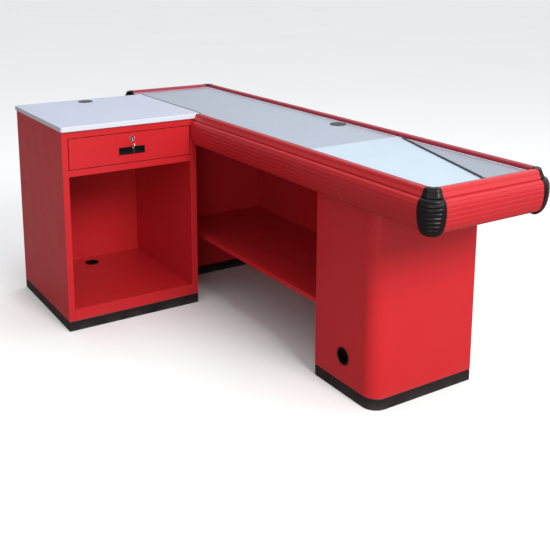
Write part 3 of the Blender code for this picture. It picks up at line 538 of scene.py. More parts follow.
def round_edges(bm, width, segments=2, angle=25.0):
    """Bevel every crease sharper than angle and mark the new faces in the edge attribute."""
    layers = bm.loops.layers.float
    mark = layers["edge"] if "edge" in layers else layers.new("edge")
    creases = [e for e in bm.edges
               if len(e.link_faces) == 2 and e.calc_face_angle(0.0) > math.radians(angle)]
    made = bmesh.ops.bevel(bm, geom=creases, offset=width, offset_type="OFFSET", segments=segments,
                           profile=0.5, affect="EDGES", clamp_overlap=True)
    for face in made["faces"]:
        for loop in face.loops:
            loop[mark] = 1.0


def merged_copy(node):
    """A CAD node's shape as clean faces: doubles merged and flat triangles joined."""
    bm = bmesh.new()
    bm.from_mesh(frame["nodes"][node].data)
    bmesh.ops.remove_doubles(bm, verts=bm.verts, dist=1e-5)
    bmesh.ops.dissolve_limit(bm, angle_limit=math.radians(0.5), verts=bm.verts, edges=bm.edges)
    bm.normal_update()
    return bm


def dressed(node, width, segments=2, angle=25.0, material=None):
    """A CAD node rebuilt with rounded edges."""
    bm = merged_copy(node)
    round_edges(bm, width, segments, angle)
    piece = add_object(node + "_finished", bm, finish(material or SLOT_FINISH[NODE_SLOT[node]]))
    shade(piece)
    return stand_for(piece, node)


def skin(bm, rings, closed=False):
    """Join rings of vertices by quads, with a face on each open end."""
    pairs = list(zip(rings, rings[1:]))
    if closed:
        pairs.append((rings[-1], rings[0]))
    for near, far in pairs:
        for k in range(len(near)):
            nxt = (k + 1) % len(near)
            bm.faces.new((near[k], near[nxt], far[nxt], far[k]))
    if not closed:
        bm.faces.new(rings[0])
        bm.faces.new(rings[-1])


def loft(bm, loops, closed=False):
    """Join outlines of equal length and face the result outwards."""
    skin(bm, [[bm.verts.new(point) for point in loop] for loop in loops], closed)
    bmesh.ops.recalc_face_normals(bm, faces=bm.faces)


def dressed_all(nodes, width, segments=2):
    """Finish several nodes with the same rounding."""
    for node in nodes:
        dressed(node, width, segments)


def smoothstep(value):
    value = min(1.0, max(0.0, value))
    return value * value * (3.0 - 2.0 * value)


# ---- geometry node trees --------------------------------------------------------------------------------
def new_tree(name, inputs):
    """A geometry node tree with a mesh in and out and the named inputs."""
    tree = bpy.data.node_groups.new(name, "GeometryNodeTree")
    tree.interface.new_socket("Geometry", in_out="INPUT", socket_type="NodeSocketGeometry")
    for label, kind, value in inputs:
        socket = tree.interface.new_socket(label, in_out="INPUT", socket_type="NodeSocket" + kind)
        if value is not None:
            socket.default_value = value
    tree.interface.new_socket("Geometry", in_out="OUTPUT", socket_type="NodeSocketGeometry")
    return tree, tree.nodes.new("NodeGroupInput"), tree.nodes.new("NodeGroupOutput")


def finish_tree(tree, start, end, shape):
    """Realize the instances and give the shape its material."""
    real = tree.nodes.new("GeometryNodeRealizeInstances")
    paint = tree.nodes.new("GeometryNodeSetMaterial")
    tree.links.new(shape, real.inputs["Geometry"])
    tree.links.new(real.outputs["Geometry"], paint.inputs["Geometry"])
    tree.links.new(start.outputs["Material"], paint.inputs["Material"])
    tree.links.new(paint.outputs["Geometry"], end.inputs["Geometry"])
    return tree


def named(tree, name, kind):
    node = tree.nodes.new("GeometryNodeInputNamedAttribute")
    node.data_type = kind
    node.inputs["Name"].default_value = name
    return node.outputs["Attribute"]


def make_ribs_tree():
    """Press a row of grooves into a smooth moulding, along its run attribute."""
    tree, start, end = new_tree("Moulded ribs", [
        ("Pitch", "Float", 0.012), ("Depth", "Float", 0.001), ("Sharpness", "Float", 3.0),
        ("Material", "Material", None)])
    turn = maths(tree, "DIVIDE", maths(tree, "MULTIPLY", named(tree, "run", "FLOAT"), 2 * math.pi),
                 start.outputs["Pitch"])
    wave = maths(tree, "MAXIMUM", maths(tree, "COSINE", turn), 0.0)
    groove = maths(tree, "POWER", wave, start.outputs["Sharpness"])
    groove = maths(tree, "MULTIPLY", groove, named(tree, "rib_share", "FLOAT"))
    groove = maths(tree, "MULTIPLY", groove, start.outputs["Depth"])
    inward = tree.nodes.new("ShaderNodeVectorMath")
    inward.operation = "SCALE"
    tree.links.new(named(tree, "rib_out", "FLOAT_VECTOR"), inward.inputs[0])
    tree.links.new(maths(tree, "MULTIPLY", groove, -1.0), inward.inputs["Scale"])
    pressed = tree.nodes.new("GeometryNodeSetPosition")
    tree.links.new(start.outputs["Geometry"], pressed.inputs["Geometry"])
    tree.links.new(inward.outputs["Vector"], pressed.inputs["Offset"])
    return finish_tree(tree, start, end, pressed.outputs["Geometry"])


def make_screws_tree():
    """Set a cross-recess screw on every point, its head facing along the facing attribute."""
    tree, start, end = new_tree("Screw row", [
        ("Head Radius", "Float", 0.0045), ("Head Height", "Float", 0.0016), ("Seed", "Int", 7),
        ("Material", "Material", None)])
    head = tree.nodes.new("GeometryNodeMeshCone")
    head.inputs["Vertices"].default_value = 20
    head.inputs["Side Segments"].default_value = 2
    tree.links.new(start.outputs["Head Radius"], head.inputs["Radius Bottom"])
    tree.links.new(maths(tree, "MULTIPLY", start.outputs["Head Radius"], 0.66), head.inputs["Radius Top"])
    tree.links.new(start.outputs["Head Height"], head.inputs["Depth"])
    solid = head.outputs["Mesh"]
    for across in ("X", "Y"):
        bar = tree.nodes.new("GeometryNodeMeshCube")
        size = tree.nodes.new("ShaderNodeCombineXYZ")
        arm = start.outputs["Head Radius"]
        thin = maths(tree, "MULTIPLY", start.outputs["Head Radius"], 0.24)
        tree.links.new(arm if across == "X" else thin, size.inputs["X"])
        tree.links.new(thin if across == "X" else arm, size.inputs["Y"])
        tree.links.new(start.outputs["Head Height"], size.inputs["Z"])
        tree.links.new(size.outputs["Vector"], bar.inputs["Size"])
        lifted = tree.nodes.new("GeometryNodeTransform")
        lift = tree.nodes.new("ShaderNodeCombineXYZ")
        tree.links.new(maths(tree, "MULTIPLY", start.outputs["Head Height"], 0.95), lift.inputs["Z"])
        tree.links.new(lift.outputs["Vector"], lifted.inputs["Translation"])
        tree.links.new(bar.outputs["Mesh"], lifted.inputs["Geometry"])
        cut = tree.nodes.new("GeometryNodeMeshBoolean")
        cut.operation = "DIFFERENCE"
        tree.links.new(solid, cut.inputs["Mesh 1"])
        tree.links.new(lifted.outputs["Geometry"], cut.inputs["Mesh 2"])
        solid = cut.outputs["Mesh"]
    facing = tree.nodes.new("FunctionNodeAlignRotationToVector")
    facing.axis = "Z"
    tree.links.new(named(tree, "facing", "FLOAT_VECTOR"), facing.inputs["Vector"])
    row = tree.nodes.new("GeometryNodeInstanceOnPoints")
    tree.links.new(start.outputs["Geometry"], row.inputs["Points"])
    tree.links.new(solid, row.inputs["Instance"])
    tree.links.new(facing.outputs["Rotation"], row.inputs["Rotation"])
    chance = tree.nodes.new("FunctionNodeRandomValue")
    chance.data_type = "FLOAT_VECTOR"
    chance.inputs[0].default_value = (0.0, 0.0, 0.0)
    chance.inputs[1].default_value = (0.0, 0.0, math.pi)
    tree.links.new(start.outputs["Seed"], chance.inputs["Seed"])
    spun = tree.nodes.new("GeometryNodeRotateInstances")
    tree.links.new(row.outputs["Instances"], spun.inputs["Instances"])
    tree.links.new(chance.outputs["Value"], spun.inputs["Rotation"])
    return finish_tree(tree, start, end, spun.outputs["Instances"])


TREES = {}


def grown(piece, maker, **values):
    """The piece's mesh as the tree makes it, plain and without the modifier."""
    if maker not in TREES:
        TREES[maker] = maker()
    tree = TREES[maker]
    modifier = piece.modifiers.new(tree.name, "NODES")
    modifier.node_group = tree
    for item in tree.interface.items_tree:
        label = item.name.replace(" ", "_").lower()
        if item.item_type == "SOCKET" and item.in_out == "INPUT" and label in values:
            modifier[item.identifier] = values[label]
    bpy.context.view_layer.update()
    plain = bpy.data.meshes.new_from_object(piece.evaluated_get(bpy.context.evaluated_depsgraph_get()))
    piece.modifiers.clear()
    piece.data = plain
    return piece


# ---- bumper rails and corner caps -----------------------------------------------------------------------
LIP = ((0.0004, 0.0004), (0.0080, 0.0094), (0.0098, 0.0107), (0.0122, 0.0114), (0.0220, 0.0118), (0.0250, 0.0118),
       (0.0275, 0.0115), (0.0297, 0.0104), (0.0316, 0.0084), (0.0330, 0.0058), (0.0346, 0.0014), (0.0340, 0.0002),
       (0.0350, -0.0008), (0.0412, -0.0122), (0.0413, -0.0138), (0.0388, -0.0150), (0.0390, -0.0170),
       (0.0430, -0.0184))
BARREL_TOP = (0.0436, -0.0188)
WIDEST_DROP = 0.054       # below the deck, where the barrel reaches out furthest
BARREL_STEPS = 132
UPPER_SHARE = 0.34        # of the barrel's steps, those above its widest place
RAIL_FOOT, CAP_FOOT = 0.030, 0.014              # reach of the outer face at its foot
RAIL_SHARPNESS, CAP_SHARPNESS = 5.0, 2.0        # higher makes narrower grooves
CAP_OVERHANG = 0.004
CAP_TURNS = 26
CAP_FACET = 24.0          # degrees either side of the corner's middle that are cut flat
NARROW_PAINTED_SHADE = 4          # outline points of the darker strip on the lip's inner face, painted shade where that face turns from the light
WIDE_PAINTED_SHADE = 7            # the same where the painted shade also covers the lip's crest


def bumper_face(drop, foot):
    """Outer face of the bumper as (reach, height, run, rib share), lip to foot; run follows the barrel."""
    points = [(u, min(z, RAIL_RISE - 0.0002), 0.0, 0.0) for u, z in LIP]
    barrel = []
    for k in range(BARREL_STEPS + 1):
        share = k / BARREL_STEPS
        if share < UPPER_SHARE:
            turn = 0.5 * math.pi * share / UPPER_SHARE
            barrel.append((BARREL_TOP[0] + (RAIL_REACH - BARREL_TOP[0]) * math.sin(turn) ** 0.9,
                           BARREL_TOP[1] - (WIDEST_DROP + BARREL_TOP[1]) * (1 - math.cos(turn))))
        else:
            turn = 0.5 * math.pi * (share - UPPER_SHARE) / (1 - UPPER_SHARE)
            barrel.append((foot + (RAIL_REACH - foot) * math.cos(turn) ** 0.8,
                           -WIDEST_DROP - (drop - WIDEST_DROP) * math.sin(turn)))
    total = sum(math.dist(a, b) for a, b in zip(barrel, barrel[1:]))
    run = 0.0
    for k, (u, z) in enumerate(barrel):
        run += math.dist(barrel[max(0, k - 1)], (u, z))
        points.append((u, z, run, smoothstep((run - 0.004) / 0.006) * smoothstep((total - 0.012 - run) / 0.010)))
    points.append((0.016, -drop, 0.0, 0.0))
    points.append((SEE, -drop, 0.0, 0.0))
    return points


def bumper_loop(face, proud, cut, drop, place_of):
    """Closed outline: the outer face, then a plain inner wall back to the start.

    Each entry is (place, outward direction, run along the barrel, share of the ribs' depth).
    """
    wall = bpy.context.scene.counter_bumper.wall
    outline = []
    for k, (u, z, run, share) in enumerate(face):
        before, after = face[max(0, k - 1)], face[min(len(face) - 1, k + 1)]
        out = Vector((before[1] - after[1], after[0] - before[0])).normalized()
        lift = proud if 0 < k < len(face) - 1 else 0.0
        u, z = max(SEE, u + out.x * lift), min(RAIL_RISE + CAP_PROUD - 0.0001, z + out.y * lift)
        here = place_of(u, z)
        outline.append((here, (place_of(u + out.x, z + out.y) - here).normalized(), run, share * cut))
    inner = [(SEE, -drop + 0.03), (SEE + wall, -drop + 0.03), (SEE + wall, -drop + wall),
             (0.026, -drop + 2 * wall), (0.042, -0.098), (RAIL_REACH - 2.5 * wall, -0.062),
             (RAIL_REACH - 2.5 * wall, -0.046), (0.037, -0.021), (0.034, -0.016), (0.029, 0.002),
             (0.024, RAIL_RISE - 2 * wall), (0.012, RAIL_RISE - 2 * wall), (SEE + wall, -1.5 * wall),
             (SEE + wall, -0.03), (SEE, -0.03)]
    return outline + [(place_of(u, z), Vector(), 0.0, 0.0) for u, z in inner]


def moulding(name, loops, material, pitch, depth, sharpness, painted_shade_finish=None, painted_shade_points=0):
    """A hollow moulding lofted through its outlines, with the ribs pressed in by the tree."""
    bm = bmesh.new()
    run = bm.verts.layers.float.new("run")
    share = bm.verts.layers.float.new("rib_share")
    out = bm.verts.layers.float_vector.new("rib_out")
    strip = bm.verts.layers.float.new("strip")
    rings = []
    for loop in loops:
        ring = []
        for k, (place_at, outward, length, cut) in enumerate(loop):
            vert = bm.verts.new(place_at)
            vert[run], vert[share], vert[out], vert[strip] = length, cut, outward, float(k < painted_shade_points)
            ring.append(vert)
        rings.append(ring)
    skin(bm, rings)
    bmesh.ops.remove_doubles(bm, verts=bm.verts, dist=2e-5)
    bmesh.ops.recalc_face_normals(bm, faces=bm.faces)
    piece = add_object(name, bm, finish(material))
    grown(piece, make_ribs_tree, pitch=pitch, depth=depth, sharpness=sharpness, material=finish(material))
    # faces among the first outline points get the darker red: painted shade on the lip's inner face
    if painted_shade_finish:
        piece.data.materials.append(finish(painted_shade_finish))
        marks = piece.data.attributes["strip"].data
        for face in piece.data.polygons:
            if all(marks[vert].value > 0.5 for vert in face.vertices) and len(face.vertices) == 4:
                face.material_index = 1
    return shade(piece, 40.0)


def straight_rail(name, node, axis, edge, outward, start, end, painted_shade_points=WIDE_PAINTED_SHADE):
    settings = bpy.context.scene.counter_bumper
    face = bumper_face(RAIL_DROP, RAIL_FOOT)

    def loop_at(at):
        if axis == "X":
            return bumper_loop(face, 0.0, 1.0, RAIL_DROP, lambda u, z: Vector((at, edge + outward * u, DECK_TOP + z)))
        return bumper_loop(face, 0.0, 1.0, RAIL_DROP, lambda u, z: Vector((edge + outward * u, at, DECK_TOP + z)))

    piece = moulding(name, [loop_at(start), loop_at(end)], "red bumper", settings.rib_pitch, settings.rib_depth,
                     RAIL_SHARPNESS, "bumper strip", painted_shade_points)
    return stand_for(piece, node)


def corner_cap(name, node, x, y, dx, dy):
    settings = bpy.context.scene.counter_bumper
    face = bumper_face(CAP_DROP + CAP_OVERHANG, CAP_FOOT)
    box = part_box(node)
    arm = abs((box[0][0] if dx > 0 else box[1][0]) - x)
    stations = [(x - dx * arm * (1 - share), y, 0.0, share) for share in (0.0, 0.10, 0.35)]
    stations += [(x, y, 90.0 * k / CAP_TURNS, 1.0) for k in range(CAP_TURNS + 1)]
    stations += [(x, y - dy * arm * (1 - share), 90.0, share) for share in (0.35, 0.10, 0.0)]
    loops = []
    for sx, sy, turn, share in stations:
        angle = math.radians(turn)
        out_x, out_y = dx * math.sin(angle), dy * math.cos(angle)
        tucked = 0.0009 * (1 - smoothstep(share / 0.10))
        chord = 1.0
        if abs(turn - 45.0) < CAP_FACET:
            chord = math.cos(math.radians(CAP_FACET)) / math.cos(math.radians(turn - 45.0))
        rib_cut = smoothstep((turn - 8.0) / 12.0) * smoothstep((82.0 - turn) / 12.0)

        def place_of(u, z):
            collar = smoothstep((z + 0.020) / 0.006) * smoothstep((u - 0.010) / 0.012)
            reach = max(SEE, u * (1.0 + (chord - 1.0) * collar) - tucked)
            return Vector((sx + out_x * reach, sy + out_y * reach, DECK_TOP + z))

        loops.append(bumper_loop(face, CAP_PROUD - 0.0002, rib_cut, CAP_DROP, place_of))
    piece = moulding(name, loops, "black moulding", settings.cap_rib_pitch, settings.cap_rib_depth,
                     CAP_SHARPNESS)
    return stand_for(piece, node)


class COUNTER_OT_bumpers(bpy.types.Operator):
    """Make the four ribbed bumper rails and their black corner caps"""
    bl_idname = "counter.bumpers"
    bl_label = "Bumper rails and caps"

    def execute(self, context):
        straight_rail("near_bumper", "near_rail", "X", DECK_Y0, -1, NEAR_RAIL[0][0], NEAR_RAIL[1][0])
        straight_rail("far_bumper", "far_rail", "X", DECK_Y1, 1, FAR_RAIL[0][0], FAR_RAIL[1][0])
        straight_rail("packing_end_bumper", "packing_end_rail", "Y", DECK_X1, 1, END_RAIL[0][1], END_RAIL[1][1],
                      NARROW_PAINTED_SHADE)
        straight_rail("cabinet_end_bumper", "cabinet_end_rail", "Y", DECK_X0, -1, CABINET_RAIL[0][1],
                      CABINET_RAIL[1][1])
        for side, x, dx in (("packing", DECK_X1, 1), ("cabinet", DECK_X0, -1)):
            for place_word, y, dy in (("near", DECK_Y0, -1), ("far", DECK_Y1, 1)):
                node = "corner_cap_" + place_word + "_" + side
                corner_cap(place_word + "_" + side + "_cap", node, x, y, dx, dy)
        return {"FINISHED"}


# ---- cabinet -----------------------------------------------------------------------------------------------
# thin black strip that paints the shadow in the gap beside the worktop
SHADOW_LINE_WIDTH, SHADOW_LINE_CROWN = 0.0042, 0.0008
SHADOW_LINE_FOOT = 0.001         # below the deck's face


def worktop_seal(inset):
    """A thin dark strip between the worktop and the rail, clear of the worktop's round corners: painted shadow for the
    gap there.
    """
    side, top, foot = WORKTOP[1][1] + SEE, WORKTOP[1][2], DECK_TOP - SHADOW_LINE_FOOT
    profile = [(side, foot), (side, top), (side + 0.2 * SHADOW_LINE_WIDTH, top + SHADOW_LINE_CROWN),
               (side + 0.8 * SHADOW_LINE_WIDTH, top + SHADOW_LINE_CROWN), (side + SHADOW_LINE_WIDTH, top), (side + SHADOW_LINE_WIDTH, foot)]
    bm = bmesh.new()
    loft(bm, [[Vector((x, y, z)) for y, z in profile] for x in (WORKTOP[0][0] + inset, WORKTOP[1][0] - inset)])
    added(shade(add_object("worktop_seal", bm, finish("black moulding"))))


class COUNTER_OT_worktop(bpy.types.Operator):
    """Make the cabinet's laminate worktop with its pale edging"""
    bl_idname = "counter.worktop"
    bl_label = "Worktop"

    def execute(self, context):
        sheet = context.scene.counter_sheet
        bm = merged_copy("cabinet_worktop")
        low, high = WORKTOP
        corners = [e for e in bm.edges
                   if abs(e.verts[0].co.x - e.verts[1].co.x) < 1e-5 and abs(e.verts[0].co.y - e.verts[1].co.y) < 1e-5
                   and min(abs(e.verts[0].co.x - low[0]), abs(e.verts[0].co.x - high[0])) < 1e-4
                   and min(abs(e.verts[0].co.y - low[1]), abs(e.verts[0].co.y - high[1])) < 1e-4]
        bmesh.ops.bevel(bm, geom=corners, offset=sheet.top_corner, offset_type="OFFSET", segments=8,
                        profile=0.5, affect="EDGES")
        round_edges(bm, sheet.top_edge, 4, 50.0)
        bm.normal_update()
        for face in bm.faces:
            face.material_index = 0 if face.normal.z > 0.95 else 1
        piece = add_object("worktop", bm, finish("pale laminate"), finish("pale edging"))
        shade(piece, 50.0)
        stand_for(piece, "cabinet_worktop")
        worktop_seal(sheet.top_corner)
        return {"FINISHED"}


class COUNTER_OT_cabinet(bpy.types.Operator):
    """Finish the cash cabinet's folded sides, rails, floor, back and plinth"""
    bl_idname = "counter.cabinet"
    bl_label = "Cash cabinet"

    def execute(self, context):
        width = context.scene.counter_sheet.sheet_edge
        dressed_all(("cabinet_left_side", "cabinet_right_side", "cabinet_back", "cabinet_top_rail",
                     "cabinet_rear_rail", "drawer_bay_floor", "cabinet_floor"), width)
        dressed_all(("cabinet_plinth_wrap", "cabinet_plinth_front"), 4 * width, 3)
        return {"FINISHED"}


class COUNTER_OT_base(bpy.types.Operator):
    """Finish the pedestals, customer panel, shelf, brackets and their plinths"""
    bl_idname = "counter.base"
    bl_label = "Pedestals and shelf"

    def execute(self, context):
        width = context.scene.counter_sheet.sheet_edge
        dressed_all(("right_pedestal_wrap", "left_pedestal_wrap", "customer_panel", "storage_shelf",
                     "shelf_bracket_left", "shelf_bracket_right"), width)
        dressed_all(("right_plinth_wrap", "left_plinth_wrap", "customer_plinth"), 4 * width, 3)
        dressed_all(("joining_spacer_upper", "joining_spacer_lower"), width)
        return {"FINISHED"}


# a thin pale strip round the deck's edge that paints the highlight of the rails' inner edges
HIGHLIGHT_WIDTH, HIGHLIGHT_THICK = 0.0040, 0.0003
HIGHLIGHT_LIFT = 0.00003       # keeps its underside off the plates


def deck_edge_trim():
    """Painted highlight: a thin pale strip round the deck's plates, inside the rails, for the line of light along the
    deck's edge.
    """
    middle = Vector(((DECK_X0 + DECK_X1) / 2, (DECK_Y0 + DECK_Y1) / 2))
    profile = ((SEE, HIGHLIGHT_LIFT), (SEE, HIGHLIGHT_THICK), (HIGHLIGHT_WIDTH * 0.8, HIGHLIGHT_THICK), (HIGHLIGHT_WIDTH, HIGHLIGHT_LIFT))
    loops = []
    for x, y in ((DECK_X0, DECK_Y0), (DECK_X1, DECK_Y0), (DECK_X1, DECK_Y1), (DECK_X0, DECK_Y1)):
        inward_x, inward_y = math.copysign(1.0, middle.x - x), math.copysign(1.0, middle.y - y)
        loops.append([Vector((x + inward_x * step, y + inward_y * step, DECK_TOP + rise)) for step, rise in profile])
    bm = bmesh.new()
    loft(bm, loops, closed=True)
    added(shade(add_object("deck_edge_trim", bm, finish("pale edging"))))


class COUNTER_OT_deck(bpy.types.Operator):
    """Finish the goods deck's board, plates, frame, divider and pivot"""
    bl_idname = "counter.deck"
    bl_label = "Goods deck"

    def execute(self, context):
        width = context.scene.counter_sheet.sheet_edge
        dressed_all(("deck_plate", "packing_plate_near"), width / 2)
        # the far packing plate gets the darker steel: painted shade
        dressed("packing_plate_far", width / 2, material="far steel")
        dressed_all(("deck_board", "deck_beam_near", "deck_beam_far", "deck_cross_member_cabinet_end",
                     "deck_cross_member_left", "deck_cross_member_right", "deck_cross_member_packing_end"), width)
        dressed("goods_divider", 2 * width, 3)
        deck_edge_trim()
        dressed("divider_pivot_pin", width, 2)
        return {"FINISHED"}


class COUNTER_OT_drawer(bpy.types.Operator):
    """Finish the drawer front, box, slides, runners and pull"""
    bl_idname = "counter.drawer"
    bl_label = "Drawer"

    def execute(self, context):
        width = context.scene.counter_sheet.sheet_edge
        dressed("drawer_front", 1.2 * width, 3)
        dressed("drawer_pull", 1.2 * width, 3)
        dressed_all(("drawer_box", "drawer_slide_bar_left", "drawer_slide_bar_right", "drawer_runner_left",
                     "drawer_runner_right"), 0.8 * width)
        return {"FINISHED"}


LOCK_EDGE, GROMMET_EDGE = 0.0004, 0.0006


class COUNTER_OT_lock(bpy.types.Operator):
    """Finish the lock, its key, the ring and the spare key"""
    bl_idname = "counter.lock"
    bl_label = "Lock and keys"

    def execute(self, context):
        dressed_all(("lock_barrel", "lock_plug", "lock_cam", "key", "spare_key"), LOCK_EDGE)
        ring = frame["nodes"]["key_ring"]
        ring.data.materials.clear()
        ring.data.materials.append(finish("chrome"))
        return {"FINISHED"}


class COUNTER_OT_grommets(bpy.types.Operator):
    """Finish the cable grommets and their caps"""
    bl_idname = "counter.grommets"
    bl_label = "Cable grommets"

    def execute(self, context):
        for node in ("worktop_grommet", "worktop_grommet_cap", "deck_grommet", "deck_grommet_cap",
                     "floor_grommet", "pedestal_grommet"):
            dressed(node, GROMMET_EDGE, 3, angle=30.0)
        return {"FINISHED"}


def seated(node, start, way):
    """Where a ray from start first meets the node, and the way its surface faces."""
    bm = merged_copy(node)
    tree = BVHTree.FromBMesh(bm)
    spot, facing, _, _ = tree.ray_cast(Vector(start), Vector(way))
    bm.free()
    return (spot, facing) if spot is not None and facing.dot(Vector(way)) < -0.9 else None


def spread(low, high, pitch, inset):
    """Even places from low to high, inset at both ends, about a pitch apart."""
    low, high = low + inset, high - inset
    count = max(1, round((high - low) / pitch))
    return [low + (high - low) * k / count for k in range(count + 1)]


class COUNTER_OT_screws(bpy.types.Operator):
    """Set the fixing screws of the back, the rails, the brackets and the frame"""
    bl_idname = "counter.screws"
    bl_label = "Fixing screws"

    def execute(self, context):
        sheet = context.scene.counter_sheet
        pitch = sheet.screw_pitch
        seats = []
        low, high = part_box("cabinet_back")
        for z in spread(low[2], high[2], pitch, 0.03):
            for y in (low[1] + 0.014, high[1] - 0.014):
                seats.append(("cabinet_back", (low[0] - 0.1, y, z), (1, 0, 0)))
        for node in ("cabinet_rear_rail", "cabinet_top_rail"):
            low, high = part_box(node)
            for y in spread(low[1], high[1], pitch, 0.05):
                seats.append((node, ((low[0] + high[0]) / 2, y, low[2] - 0.02), (0, 0, 1)))
        for node, way in (("shelf_bracket_left", -1), ("shelf_bracket_right", 1)):
            low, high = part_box(node)
            for y in spread(low[1], high[1], pitch, 0.04):
                seats.append((node, ((low[0] + high[0]) / 2 - 0.1 * way, y, low[2] + 0.012), (way, 0, 0)))
        for node, inner in (("near_rail", DECK_Y0 - 0.012), ("far_rail", DECK_Y1 + 0.012)):
            low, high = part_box(node)
            for x in spread(low[0], high[0], 2 * pitch, 0.08):
                seats.append((node, (x, inner, low[2] - 0.1), (0, 0, 1)))
        for node, inner in (("packing_end_rail", DECK_X1 + 0.012), ("cabinet_end_rail", DECK_X0 - 0.012)):
            low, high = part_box(node)
            for y in spread(low[1], high[1], pitch, 0.06):
                seats.append((node, (inner, y, low[2] - 0.1), (0, 0, 1)))
        for end in ("left", "right", "cabinet_end", "packing_end"):
            node = "deck_cross_member_" + end
            low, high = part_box(node)
            for y in spread(low[1], high[1], pitch, 0.04):
                seats.append((node, ((low[0] + high[0]) / 2, y, low[2] - 0.1), (0, 0, 1)))
        bm = bmesh.new()
        facing = bm.verts.layers.float_vector.new("facing")
        for node, start, way in seats:
            found = seated(node, start, way)
            if found:
                point = bm.verts.new(found[0] + found[1] * 0.0008)
                point[facing] = found[1]
        screws = add_object("fixing_screws", bm)
        grown(screws, make_screws_tree, head_radius=sheet.screw_radius, head_height=0.36 * sheet.screw_radius,
              seed=7, material=finish("zinc steel"))
        shade(screws)
        added(screws)
        return {"FINISHED"}


# ---- stage -----------------------------------------------------------------------------------------------------
FLOOR_HALF = 30.0
AREA_LIGHTS = (           # name, place, aim, size, watts, colour
    ("key", (4.9, 0.1, 3.7), (0.3, 0.0, 0.5), 2.0, 240.0, (1.0, 0.99, 0.97)),
    ("fill", (3.4, -2.6, 1.1), (0.0, 0.0, 0.4), 1.8, 26.0, (1.0, 0.98, 0.97)),
    ("top", (-0.6, 0.6, 4.6), (0.0, 0.0, 0.6), 3.5, 30.0, (0.96, 0.98, 1.0)),
)
CAMERA_PLACE = (2.8106, -1.6159, 1.4937)
CAMERA_TILT, CAMERA_TURN = 90.0 - 11.375, 57.991        # degrees
CAMERA_LENS, CAMERA_SENSOR = 55.81, 36.0                # mm
CAMERA_SHIFT = (0.0302, -0.2636)


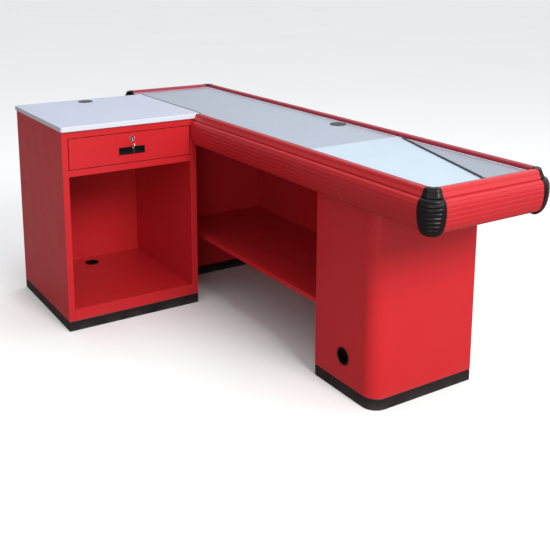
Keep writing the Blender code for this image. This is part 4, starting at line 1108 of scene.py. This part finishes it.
class COUNTER_OT_stage(bpy.types.Operator):
    """Set out the pale floor, the soft lights and the camera"""
    bl_idname = "counter.stage"
    bl_label = "Stage"

    def execute(self, context):
        scene = context.scene
        bm = bmesh.new()
        bmesh.ops.create_grid(bm, x_segments=8, y_segments=8, size=FLOOR_HALF)
        floor = add_object("studio_floor", bm, finish("pale floor"))

        world = bpy.data.worlds.new("studio")
        scene.world = world
        world.use_nodes = True
        sky = world.node_tree
        way = sky.nodes.new("ShaderNodeSeparateXYZ")
        sky.links.new(sky.nodes.new("ShaderNodeTexCoord").outputs["Generated"], way.inputs["Vector"])
        overhead = ramp(sky, way.outputs["Z"], 0.20, 1.0, 0.0, 0.60)
        packing_side = ramp(sky, way.outputs["X"], -0.4, 0.9, 0.0, 0.35)
        customer_side = ramp(sky, way.outputs["Y"], -0.1, 0.6, 0.0, 0.65)
        glow = maths(sky, "ADD", maths(sky, "ADD", packing_side, customer_side), 0.18)
        glow = maths(sky, "ADD", glow, overhead)
        seen = sky.nodes.new("ShaderNodeLightPath").outputs["Is Camera Ray"]
        glow = maths(sky, "MAXIMUM", glow, seen)
        shell = sky.nodes["Background"]
        shell.inputs["Color"].default_value = (0.97, 0.985, 1.0, 1.0)
        sky.links.new(glow, shell.inputs["Strength"])

        for name, spot, aim, size, power, tint in AREA_LIGHTS:
            data = bpy.data.lights.new(name, "AREA")
            data.shape = "DISK"
            data.size = size
            data.energy = power
            data.color = tint
            lamp = bpy.data.objects.new(name + "_light", data)
            scene.collection.objects.link(lamp)
            lamp.location = spot
            lamp.rotation_euler = (Vector(aim) - Vector(spot)).to_track_quat("-Z", "Y").to_euler()

        lens = bpy.data.cameras.new("camera")
        lens.lens = CAMERA_LENS
        lens.sensor_width = CAMERA_SENSOR
        lens.shift_x, lens.shift_y = CAMERA_SHIFT
        lens.clip_end = 200.0
        camera = bpy.data.objects.new("camera", lens)
        scene.collection.objects.link(camera)
        camera.location = CAMERA_PLACE
        camera.rotation_euler = (math.radians(CAMERA_TILT), 0.0, math.radians(CAMERA_TURN))
        scene.camera = camera
        scene.view_settings.view_transform = "Standard"
        return {"FINISHED"}


# ---- panel and start ------------------------------------------------------------------------------------------------
STEPS = (COUNTER_OT_bumpers, COUNTER_OT_worktop, COUNTER_OT_cabinet, COUNTER_OT_base, COUNTER_OT_deck,
         COUNTER_OT_drawer, COUNTER_OT_lock, COUNTER_OT_grommets, COUNTER_OT_screws, COUNTER_OT_stage)
SETTINGS = (("counter_paint", CounterPaintSettings), ("counter_deck", CounterDeckSettings),
            ("counter_bumper", CounterBumperSettings), ("counter_sheet", CounterSheetSettings))


class COUNTER_PT_maker(bpy.types.Panel):
    """Sizes, colours and makers of the checkout counter"""
    bl_idname = "COUNTER_PT_maker"
    bl_label = "Checkout counter"
    bl_space_type = "VIEW_3D"
    bl_region_type = "UI"
    bl_category = "Counter"

    def draw(self, context):
        for name, group in SETTINGS:
            box = self.layout.box()
            for key in group.__annotations__:
                box.prop(getattr(context.scene, name), key)
        for step in STEPS:
            self.layout.operator(step.bl_idname)


def register():
    for name, group in SETTINGS:
        bpy.utils.register_class(group)
        setattr(bpy.types.Scene, name, bpy.props.PointerProperty(type=group))
    for step in STEPS:
        bpy.utils.register_class(step)
    bpy.utils.register_class(COUNTER_PT_maker)


def unregister():
    bpy.utils.unregister_class(COUNTER_PT_maker)
    for step in reversed(STEPS):
        bpy.utils.unregister_class(step)
    for name, group in reversed(SETTINGS):
        delattr(bpy.types.Scene, name)
        bpy.utils.unregister_class(group)


def main():
    register()
    for old in ("Cube", "Light", "Camera"):
        if old in bpy.data.objects:
            bpy.data.objects.remove(bpy.data.objects[old], do_unlink=True)
    bpy.ops.counter.bumpers()
    bpy.ops.counter.worktop()
    bpy.ops.counter.cabinet()
    bpy.ops.counter.base()
    bpy.ops.counter.deck()
    bpy.ops.counter.drawer()
    bpy.ops.counter.lock()
    bpy.ops.counter.grommets()
    bpy.ops.counter.screws()
    bpy.ops.counter.stage()


if __name__ == "__main__":
    main()
